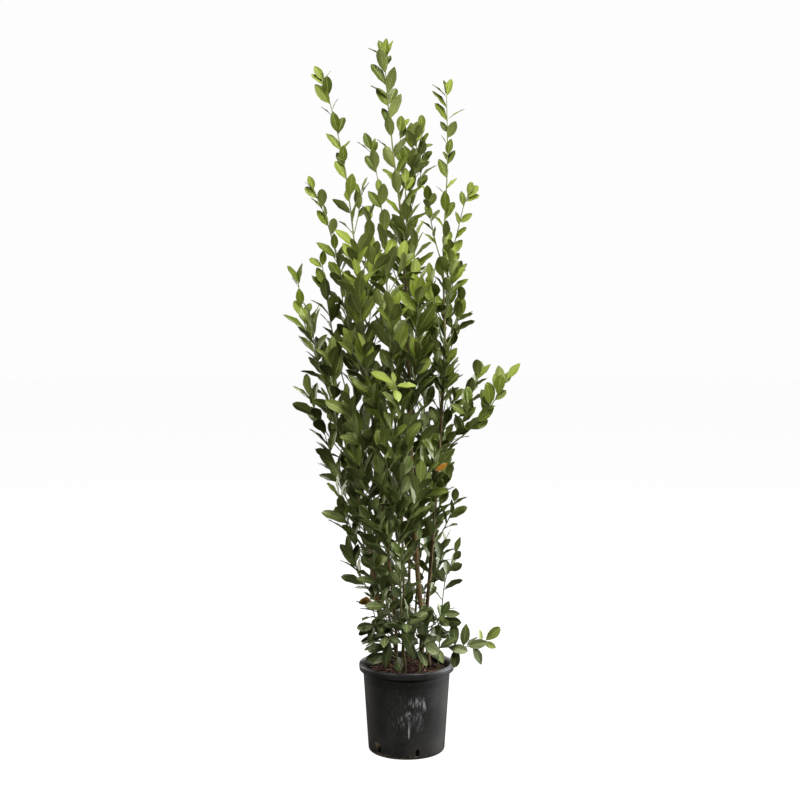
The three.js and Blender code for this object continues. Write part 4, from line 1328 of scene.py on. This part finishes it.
class Room:
    """Which cubes are taken, and by whom: 2 n is axis n itself, and 2 n + 1 is a leaf on it."""

    def __init__(self, margin, hangs_low, axes):
        self.owners = np.zeros(CUBES, np.int32)
        self.hangs_low = hangs_low
        self.margin = range(-margin, margin + 1)
        for axis in axes:
            self.take(points_round(axis), 2 * axis.number)

    def cubes(self, points):
        cubes = np.floor(points / CUBE).astype(int) - np.array(FIRST_CUBE)
        return tuple(cubes.transpose())

    def take(self, points, owner):
        cubes = self.cubes(points)
        for step in product(self.margin, repeat=3):
            near = tuple(n + d for n, d in zip(cubes, step))
            free = self.owners[near] == 0
            self.owners[tuple(n[free] for n in near)] = owner

    def take_leaf(self, leaf):
        self.take(samples_of(leaf, 0), 2 * leaf.axis.number + 1)

    def is_clear_of_pot(self, points):
        height, reach = points[:, 2], np.hypot(points[:, 0], points[:, 1])
        clear = (height > POT["height"] + POT_ROOM) | (reach > POT["rim"] + POT_ROOM)
        if self.hangs_low:
            clear |= (height > SOIL["top"] + 2 * POT_ROOM) & (reach < POT["wall_top"] - POT_ROOM)
        return np.all(clear)

    def has(self, leaf):
        """Near its root a leaf may touch the other leaves of its axis, further out only the axis."""
        points = samples_of(leaf, 0)
        owners = self.owners[self.cubes(points)]
        if not np.all((owners == 0) | (owners >> 1 == leaf.axis.number)) or not self.is_clear_of_pot(points):
            return False
        owners = self.owners[self.cubes(samples_of(leaf, FREE_SHARE))]
        return np.all((owners == 0) | (owners == 2 * leaf.axis.number))


print("cubes of", CUBE, "mm:", math.prod(CUBES))

# %% Grow the leaves that the solids have
def keep(leaf, room):
    leaves.append(leaf)
    room.take_leaf(leaf)


def set_by_hand(axes, table, room):
    for axis in axes:
        for row in table.get(axis.name, []):
            keep(placed_leaf(axis, row), room)


def grow(axis, node, room, is_wanted=lambda leaf: True):
    """Adds the node's leaf, bent clear of what is in its way, or nothing where it finds no room."""
    tries = (make_leaf(axis, node, *dodge) for dodge in DODGES)
    leaf = next((leaf for leaf in tries if room.has(leaf)), None)
    if leaf and is_wanted(leaf):
        keep(leaf, room)


LEAF_EVERY = 4
LOW_LEAF_EVERY = 8

leaves = []
wide_room = Room(1, hangs_low=False, axes=solid_axes)
set_by_hand(solid_axes, SET_LEAVES, wide_room)
for axis in solid_axes:
    axis.nodes = nodes_of(axis)
    for node in axis.nodes:
        every = axis.leaf_every or (LEAF_EVERY if axis.length - node.length < TOP else LOW_LEAF_EVERY)
        if node.k % every == 0:
            node.tried = True
            grow(axis, node, wide_room)
print("leaves that stand for the solids':", len(leaves))

# %% [markdown]
# ## The rest of the leaves
#
# By the rule, the solids bear a leaf on every fourth node near the tips and on every eighth further down.
# Now the other nodes get theirs, and so do the shoots that were left out, and short side twigs that fill
# the bush from within. These leaves may lie closer to each other, so they are tried in a room of cubes
# without a margin, with all the leaves so far.

# %% More shoots and twigs
TWIG = {"first": 520, "gap": 84, "least": 80, "most": 135, "rise": 2.4, "below_tip": 380, "top": 1280}
TWIG_GAP_CHANCE = (0.7, 1.3)
TWIG_SEED = 8
LOW_CORNER = np.array((-352, -214, 236))  # of the box that all leaves stay in
HIGH_CORNER = np.array((314, 229, 1930))
TWIG_MARGIN = 25


def twigs_of(main, bare_to, chance):
    """Short twigs up a stem, each turned on from the last, as (height, x, y, z of its tip)."""
    twigs = []
    height = max(TWIG["first"], bare_to) + chance.uniform(0, TWIG["gap"])
    angle = chance.uniform(0, 360)
    while height < min(TWIG["top"], main.corners[-1][2] - TWIG["below_tip"]):
        _, at = main.at_height(height)
        reach = chance.uniform(TWIG["least"], TWIG["most"])
        way = np.array([math.cos(math.radians(angle)), math.sin(math.radians(angle)), TWIG["rise"]])
        tip = at + unit(way) * reach
        if all(tip > LOW_CORNER + TWIG_MARGIN) and all(tip < HIGH_CORNER - TWIG_MARGIN):
            twigs.append((height, *tip))
        height += TWIG["gap"] * chance.uniform(*TWIG_GAP_CHANCE)
        angle += TURN
    return twigs


chance = Random(TWIG_SEED)
for stem, main in zip(STEMS, main_axes):
    if not stem.shoots:
        continue
    for shoot in [*stem.more_shoots, *twigs_of(main, SOIL["top"] + stem.bare, chance)]:
        axis = shoot_axis(main, shoot, stem.leaf)
        axis.number = 1 + sum(len(axes) for axes in axes_of.values())
        axis.start_angle = draw(0, 360)
        axes_of[stem.name].append(axis)
all_axes = [axis for axes in axes_of.values() for axis in axes]
print("axes in all:", len(all_axes))

# %% Grow the other leaves
def is_inside(leaf):
    """Keeps the plant's outline: no leaf reaches past the furthest of the solids' leaves."""
    points = samples_of(leaf, 0)
    return np.all(points > LOW_CORNER) and np.all(points < HIGH_CORNER)


close_room = Room(0, hangs_low=True, axes=all_axes)
for leaf in leaves:
    close_room.take_leaf(leaf)
set_by_hand(all_axes, MORE_SET_LEAVES, close_room)
for axis in all_axes:
    axis.nodes = axis.nodes or nodes_of(axis)
    for node in axis.nodes:
        if not node.tried:
            grow(axis, node, close_room, is_inside)
print("leaves in all:", len(leaves))

# %% [markdown]
# ## How old and how light each leaf is
#
# New leaves at the tips are thin and yellow-green, and old ones low down are thick, dark and bluish. Each
# leaf carries four numbers for its finish: its tone, drawn by chance; how young it is, from its node and
# the height of its tip; its painted shade, from the number of leaves close round it, which darkens the
# leaves deep inside the bush where the shade falls; and how dry it is. The listed leaves have a tone and a
# youth of their own, as those of the bright sprig, and their tone also paints how lit or shaded each one
# is. Two leaves are dry: one went orange, one brown.

# %% Tone, youth and the odd leaves
TONE_SEED = 12
YOUNG_NODES = 4.5
YOUNG = {"low": 500, "rise": 800, "least": 0.15, "chance": (0.2, 0.7)}
ODD_LEAVES = [
    # near which point, and how dry it is
    ((97, -74, 788), 1),
    ((-108, -90, 410), 0.65),
]
FACES_FRONT = 0.6
NEAR = 115
CROWD_OUTSIDE = 9  # leaves as near as that to one at the outside of the bush
CROWD_INSIDE = 20
# How strong the painted shade is at each height.
PAINTED_SHADE_AT_HEIGHT = ((450, 700, 950, 1050, 1200, 1500), (0.5, 0.3, 0.85, 1, 0.6, 0))
SET_LEAF_PAINTED_SHADE = 0.3  # the listed leaves stand in front, so they get little painted shade
MIDDLE = 0.6  # of a leaf's length


def middle_of(leaf):
    return leaf.root + leaf.forward * leaf.size * MIDDLE


middles = np.array([middle_of(leaf) for leaf in leaves])
chance = Random(TONE_SEED)
for leaf, middle in zip(leaves, middles):
    leaf.tone = chance.random()
    leaf.outline = chance.randrange(3)
    tip_height = leaf.axis.corners[-1][2]
    bright = between(clamped((tip_height - YOUNG["low"]) / YOUNG["rise"]), YOUNG["least"], 1)
    leaf.young = clamped(1 - leaf.node.k / YOUNG_NODES) * bright * chance.uniform(*YOUNG["chance"])
    # Painted shade: the more leaves close round a leaf, the darker it is painted.
    crowd = np.count_nonzero(np.linalg.norm(middles - middle, axis=1) < NEAR)
    leaf.deep = clamped((crowd - CROWD_OUTSIDE) / (CROWD_INSIDE - CROWD_OUTSIDE))
    leaf.deep *= np.interp(middle[2], *PAINTED_SHADE_AT_HEIGHT)
    # Painted light: a listed leaf's tone also paints how lit or shaded it is, and it gets less painted shade.
    if leaf.set_finish:
        leaf.young, leaf.tone = leaf.set_finish
        leaf.deep *= SET_LEAF_PAINTED_SHADE

for where, dry in ODD_LEAVES:
    seen = [leaf for leaf in leaves if abs(leaf.face[1]) > FACES_FRONT]
    nearest = min(seen, key=lambda leaf: sum((middle_of(leaf) - np.array(where)) ** 2))
    nearest.dry = dry
print("odd leaves:", len(ODD_LEAVES))
print("how deep, in quarters:", np.percentile([leaf.deep for leaf in leaves], (25, 50, 75)).round(2))

# %% [markdown]
# ## Modelling a bay leaf
#
# A bay leaf is a leathery ellipse with a short stalk, about seven centimetres long. Its blade is slightly
# folded up along the sunken midrib, its margin is wavy, and it bends back along its length. It starts as
# a grid that stands upright with its face to the front. Each row is resized to the outline and moved to
# its place, the columns are pushed back for the fold, and the margin is waved. Solidify gives the blade
# its thickness and a second material for the underside. Three outlines in four bends make twelve models.

# %% Leaf models
LEAF_LENGTH = 74 * MM
LEAF_WIDTH = 29 * MM
LEAF_THICKNESS = 0.55 * MM
ROW_SHARES = (0, 0.07, 0.19, 0.36, 0.56, 0.76, 0.91, 1)
OUTLINES = [  # the width of each row; the last is next to nothing, and its points are merged to the tip
    (0.05, 0.055, 0.52, 0.92, 1.03, 0.82, 0.40, 0.001),
    (0.05, 0.055, 0.50, 0.87, 0.96, 0.73, 0.32, 0.001),
    (0.05, 0.055, 0.44, 0.84, 1.05, 0.95, 0.58, 0.001),
]
FOLD = 3.2 * MM
INNER_FOLD = 0.35
WAVE = 1.3 * MM
# The grid's columns are at 0, a quarter and a half of the width, and these lie between them.
MARGIN_FROM = 0.4 * LEAF_WIDTH
MIDRIB_TO = 0.1 * LEAF_WIDTH
BENDS = (8, 16, 25, 36)
SAME_ROW = 0.1 * MM
SMOOTH_BELOW = 50  # the edges of the blade, which turn by more than that, stay sharp


def flat_leaf(widths, wave_from):
    rows = len(ROW_SHARES) - 1
    heights = [LEAF_LENGTH * row / rows for row in range(rows + 1)]
    bpy.ops.mesh.primitive_grid_add(x_subdivisions=4, y_subdivisions=rows, size=1)
    leaf = bpy.context.object
    leaf.scale = (LEAF_WIDTH, LEAF_LENGTH, 1)
    leaf.rotation_euler = (math.pi / 2, 0, 0)
    leaf.location = (0, 0, LEAF_LENGTH / 2)
    place_into_mesh()
    start_editing()
    pick(lambda co: abs(co.x) > MARGIN_FROM)
    move(0, -FOLD, 0)
    pick(lambda co: MIDRIB_TO < abs(co.x) < MARGIN_FROM)
    move(0, -FOLD * INNER_FOLD, 0)
    for row in range(2, rows):
        for side in (-1, 1):
            pick(lambda co: abs(co.z - heights[row]) < SAME_ROW and side * co.x > MARGIN_FROM)
            move(0, WAVE * (1 if (row + (side > 0) * wave_from) % 2 else -1), 0)
    for height, share, width in zip(heights, ROW_SHARES, widths):
        pick(lambda co: abs(co.z - height) < SAME_ROW)
        bpy.ops.transform.resize(value=(width, width, 1), center_override=(0, 0, height))
        move(0, 0, share * LEAF_LENGTH - height)
    stop_editing()
    weld(0.1 * MM)
    return leaf


def leaf_model(widths, wave_from, bend, materials):
    leaf = flat_leaf(widths, wave_from)
    leaf.name = f"leaf_{bend}_{wave_from}"
    for material in materials:
        leaf.data.materials.append(material)
    apply_modifier(leaf, "SOLIDIFY", thickness=LEAF_THICKNESS, offset=0, material_offset=1)
    apply_modifier(leaf, "SIMPLE_DEFORM", deform_method="BEND", deform_axis="X", angle=math.radians(bend))
    bpy.ops.object.shade_smooth_by_angle(angle=math.radians(SMOOTH_BELOW))
    for name in ("tone", "young", "deep", "dry"):
        leaf.data.attributes.new(name, "FLOAT", "POINT")
    return leaf


# %% [markdown]
# ## The green of the leaves
#
# Seen from above a bay leaf is glossy and deep green, darker and bluer the older it is, with a pale midrib
# and thin side veins that run out and forward to the margin. Below it is paler and duller, and its midrib
# stands out. The colour runs with the height on the plant, because the new growth is at the top, and is
# then varied by each leaf's tone, youth and dryness. Painted shade darkens the leaves deep inside the bush
# and the lowest ones just above the soil, and the light low leaves get a pale grey-blue that is partly a
# painted sheen. The veins follow the leaf's own UV map.

# %% Materials: upper and under side
GREENS = [  # from low on the plant to its top
    (0, (0.068, 0.098, 0.040)),
    (0.42, (0.124, 0.178, 0.016)),
    (0.68, (0.150, 0.205, 0.014)),
    (0.95, (0.064, 0.090, 0.008)),
]
PAINTED_SHADE_GREEN = (0.010, 0.017, 0.004)
LIGHT_GREEN = (0.21, 0.245, 0.046)
# Partly a painted sheen: the pale grey-blue of light leaves low down.
PALE_LOW_GREEN_AND_SHEEN = (0.15, 0.185, 0.105)
DARK_GREEN = (0.020, 0.034, 0.006)
UNDER_GREEN = (0.27, 0.31, 0.11)
SPOT_GREEN = (0.035, 0.050, 0.010)
VEIN_GREEN = (0.40, 0.44, 0.14)
LIME = (0.21, 0.25, 0.042)
ORANGE_BROWN = (0.70, 0.30, 0.045)
LEAF_SHEEN = (0.92, 1.0, 0.60, 1)
VEIN_SLANT = 0.42
VEIN_PHASE = 62  # in radians along a leaf, so ten veins on each side


def vein_masks(tree):
    """1 on the midrib and 1 on the side veins, from the leaf's UV map."""
    uv = coordinates(tree, "UV")
    across = (uv.part("X") - 0.5).math("ABSOLUTE")
    waves = ((uv.part("Y") - across * VEIN_SLANT) * VEIN_PHASE).math("SINE")
    return across.ranged(0.016, 0.042, 1, 0), waves.ranged(0.86, 1)


def leaf_green(tree, is_upper):
    where = coordinates(tree)
    mottle = where.noise(80, 3)
    height = where.part("Z") + where.noise(7) * 0.25
    tone, deep, young, dry = (attribute(tree, name) for name in ("tone", "deep", "young", "dry"))

    # The light tone of low leaves is partly a painted sheen.
    light_tone_and_sheen = mix(height.ranged(0.7, 1.2), PALE_LOW_GREEN_AND_SHEEN, LIGHT_GREEN)
    colour = mix(tone.ranged(0.5, 1, 0, 0.55), height.ranged(0.40, 1.85).ramp(*GREENS), light_tone_and_sheen)
    colour = mix(tone.ranged(0.5, 0, 0, 0.7), colour, DARK_GREEN)
    if not is_upper:
        colour = mix(0.42, colour, UNDER_GREEN)
    colour = mix(mottle.ranged(0.35, 0.7, 0, 0.14), colour, SPOT_GREEN)
    # Painted shade: the lowest leaves, just above the soil, are darkened.
    colour = mix(height.ranged(0.54, 0.38, 0, 0.42), colour, PAINTED_SHADE_GREEN)
    # Painted shade: leaves deep inside the bush are darkened.
    colour = mix(deep * 0.72, colour, PAINTED_SHADE_GREEN)
    colour = mix(young * 0.7, colour, LIME)
    colour = mix(dry, colour, ORANGE_BROWN)

    midrib, side_veins = vein_masks(tree)
    veins = (midrib * 0.45).math("MAXIMUM", side_veins * 0.14)
    dullness = (0.34, 0.48) if is_upper else (0.44, 0.56)
    shine = (0.54, 0.22) if is_upper else (0.40, 0.18)
    return {
        "Base Color": mix(veins, colour, VEIN_GREEN),
        "Roughness": mottle.ranged(0.3, 0.7, *dullness),
        "Specular IOR Level": height.ranged(0.9, 1.5, *shine),
        "Specular Tint": LEAF_SHEEN,
        "Normal": (midrib + side_veins * 0.35).bump(0.5, 0.0005, invert=is_upper),
    }


leaf_materials = [
    make_material("leaf upper side", leaf_green, True),
    make_material("leaf underside", leaf_green, False),
]
leaf_models = [
    [leaf_model(widths, i % 2, bend, leaf_materials) for bend in BENDS] for i, widths in enumerate(OUTLINES)
]
print("faces of one leaf:", len(leaf_models[0][0].data.polygons))

# %% [markdown]
# ## Stems and shoots
#
# The wood is round, tapers to the tips, and swells a little at every node where a leaf stands or stood.
# A curve with a round bevel makes such a rod along any line, with its own radius at each point, and
# becomes a mesh afterwards. Low down the bark is grey-brown and reddish, and the shoots of this year are
# green, so every ring carries a number that says how woody it is.

# %% Rods along the axes
RING_GAP = 13
NODE_SWELL = 0.16
SWELL_REACH = 6
GREEN_RADIUS = 2.1
WOODY_RADIUS = 3.9
ROD_SIDES = 8


def rod_points(axis):
    """(point, radius) all along an axis, on its curve."""
    marks = [node.length for node in axis.nodes]
    points = []
    for i in range(1, len(axis.corners)):
        span = axis.lengths[i] - axis.lengths[i - 1]
        rings = max(1, round(span / RING_GAP))
        for ring in range(rings + (i == len(axis.corners) - 1)):
            length = axis.lengths[i - 1] + span * ring / rings
            nearest = min((abs(length - mark) for mark in marks), default=SWELL_REACH)
            swell = 1 + NODE_SWELL * clamped(1 - nearest / SWELL_REACH)
            points.append((axis.on_curve(i, ring / rings), axis.radius_at(length) * swell))
    return points


def rod(axis):
    points = rod_points(axis)
    curve = bpy.data.curves.new("rod", "CURVE")
    curve.dimensions = "3D"
    curve.bevel_depth = MM
    curve.bevel_resolution = ROD_SIDES // 2 - 2
    curve.use_fill_caps = True
    line = curve.splines.new("POLY")
    line.points.add(len(points) - 1)
    for target, (point, radius) in zip(line.points, points):
        target.co = (*(point * MM), 1)
        target.radius = radius
    piece = bpy.data.objects.new("rod", curve)
    bpy.context.collection.objects.link(piece)
    select_only(piece)
    bpy.ops.object.convert(target="MESH")
    piece = bpy.context.object
    woody = [clamped((radius - GREEN_RADIUS) / (WOODY_RADIUS - GREEN_RADIUS)) for _, radius in points]
    rings = [woody[-1], woody[0], *woody]  # the two caps come first in the mesh
    values = piece.data.attributes.new("woody", "FLOAT", "POINT")
    values.data.foreach_set("value", np.repeat(np.array(rings, np.float32), ROD_SIDES))
    return piece


# %% Material: bark and green shoots
BROWNS = [(0.3, (0.032, 0.018, 0.008)), (0.5, (0.128, 0.080, 0.032)), (0.72, (0.28, 0.19, 0.09))]
SHOOT_GREEN = (0.10, 0.14, 0.035)
SHOOT_TAN = (0.17, 0.17, 0.06)


def bark(tree):
    where = coordinates(tree)
    streaks = where.vector("MULTIPLY", (1, 1, 0.12)).noise(420, 4, 0.6)
    patches = where.noise(45, 3)
    unevenness = patches.ranged(0.3, 0.7, -0.25, 0.25)
    woody = attribute(tree, "woody").math("ADD", unevenness, use_clamp=True)
    green = mix(patches.ranged(0.35, 0.7), SHOOT_GREEN, SHOOT_TAN)
    return {
        "Base Color": mix(woody, green, streaks.ramp(*BROWNS)),
        "Roughness": woody.ranged(0, 1, 0.5, 0.82),
        "Specular IOR Level": 0.3,
        "Normal": streaks.bump(0.5, 0.0008),
    }


bark_material = make_material("bark and green shoots", bark)
for stem in STEMS:
    wood = join([rod(axis) for axis in axes_of[stem.name]], "wood")
    weld(0.01 * MM)
    wood.data.materials.append(bark_material)
    wood.data.shade_smooth()
    finish_piece(wood, stem.name + "_wood", "bay_foliage", stem.name)

# %% [markdown]
# ## Setting the leaves
#
# Each leaf in the list becomes a copy of the model with its outline and the nearest bend. The copy is
# turned so that its length runs forward and its upper face looks along the leaf's face, scaled to its
# size, and moved to its root on the stem's curve. The leaves of one stem are then joined to one piece.

# %% Copy the leaves on to their stems
def placing_of(leaf):
    i, share = leaf.axis.piece_at(leaf.node.length)
    root = leaf.root + leaf.axis.on_curve(i, share) - leaf.axis.along(leaf.node.length)[0]
    turned = Matrix((leaf.side, -leaf.face, leaf.forward)).transposed().to_4x4()
    across, along = width_of(leaf.size) * MM / LEAF_WIDTH, leaf.size * MM / LEAF_LENGTH
    scale = Matrix.Diagonal((across, along, along, 1))
    return Matrix.Translation(Vector(root) * MM) @ turned @ scale


def leaf_copy(leaf):
    bend = min(range(len(BENDS)), key=lambda i: abs(BENDS[i] - math.degrees(leaf.arch)))
    values = {"tone": leaf.tone, "young": leaf.young, "deep": leaf.deep, "dry": leaf.dry}
    return copy_of(leaf_models[leaf.outline][bend], placing_of(leaf), values)


for stem in STEMS:
    numbers = {axis.number for axis in axes_of[stem.name]}
    foliage = join([leaf_copy(leaf) for leaf in leaves if leaf.axis.number in numbers], "foliage")
    finish_piece(foliage, stem.name + "_leaves", "bay_foliage", stem.name)
for models in leaf_models:
    remove_all(models)
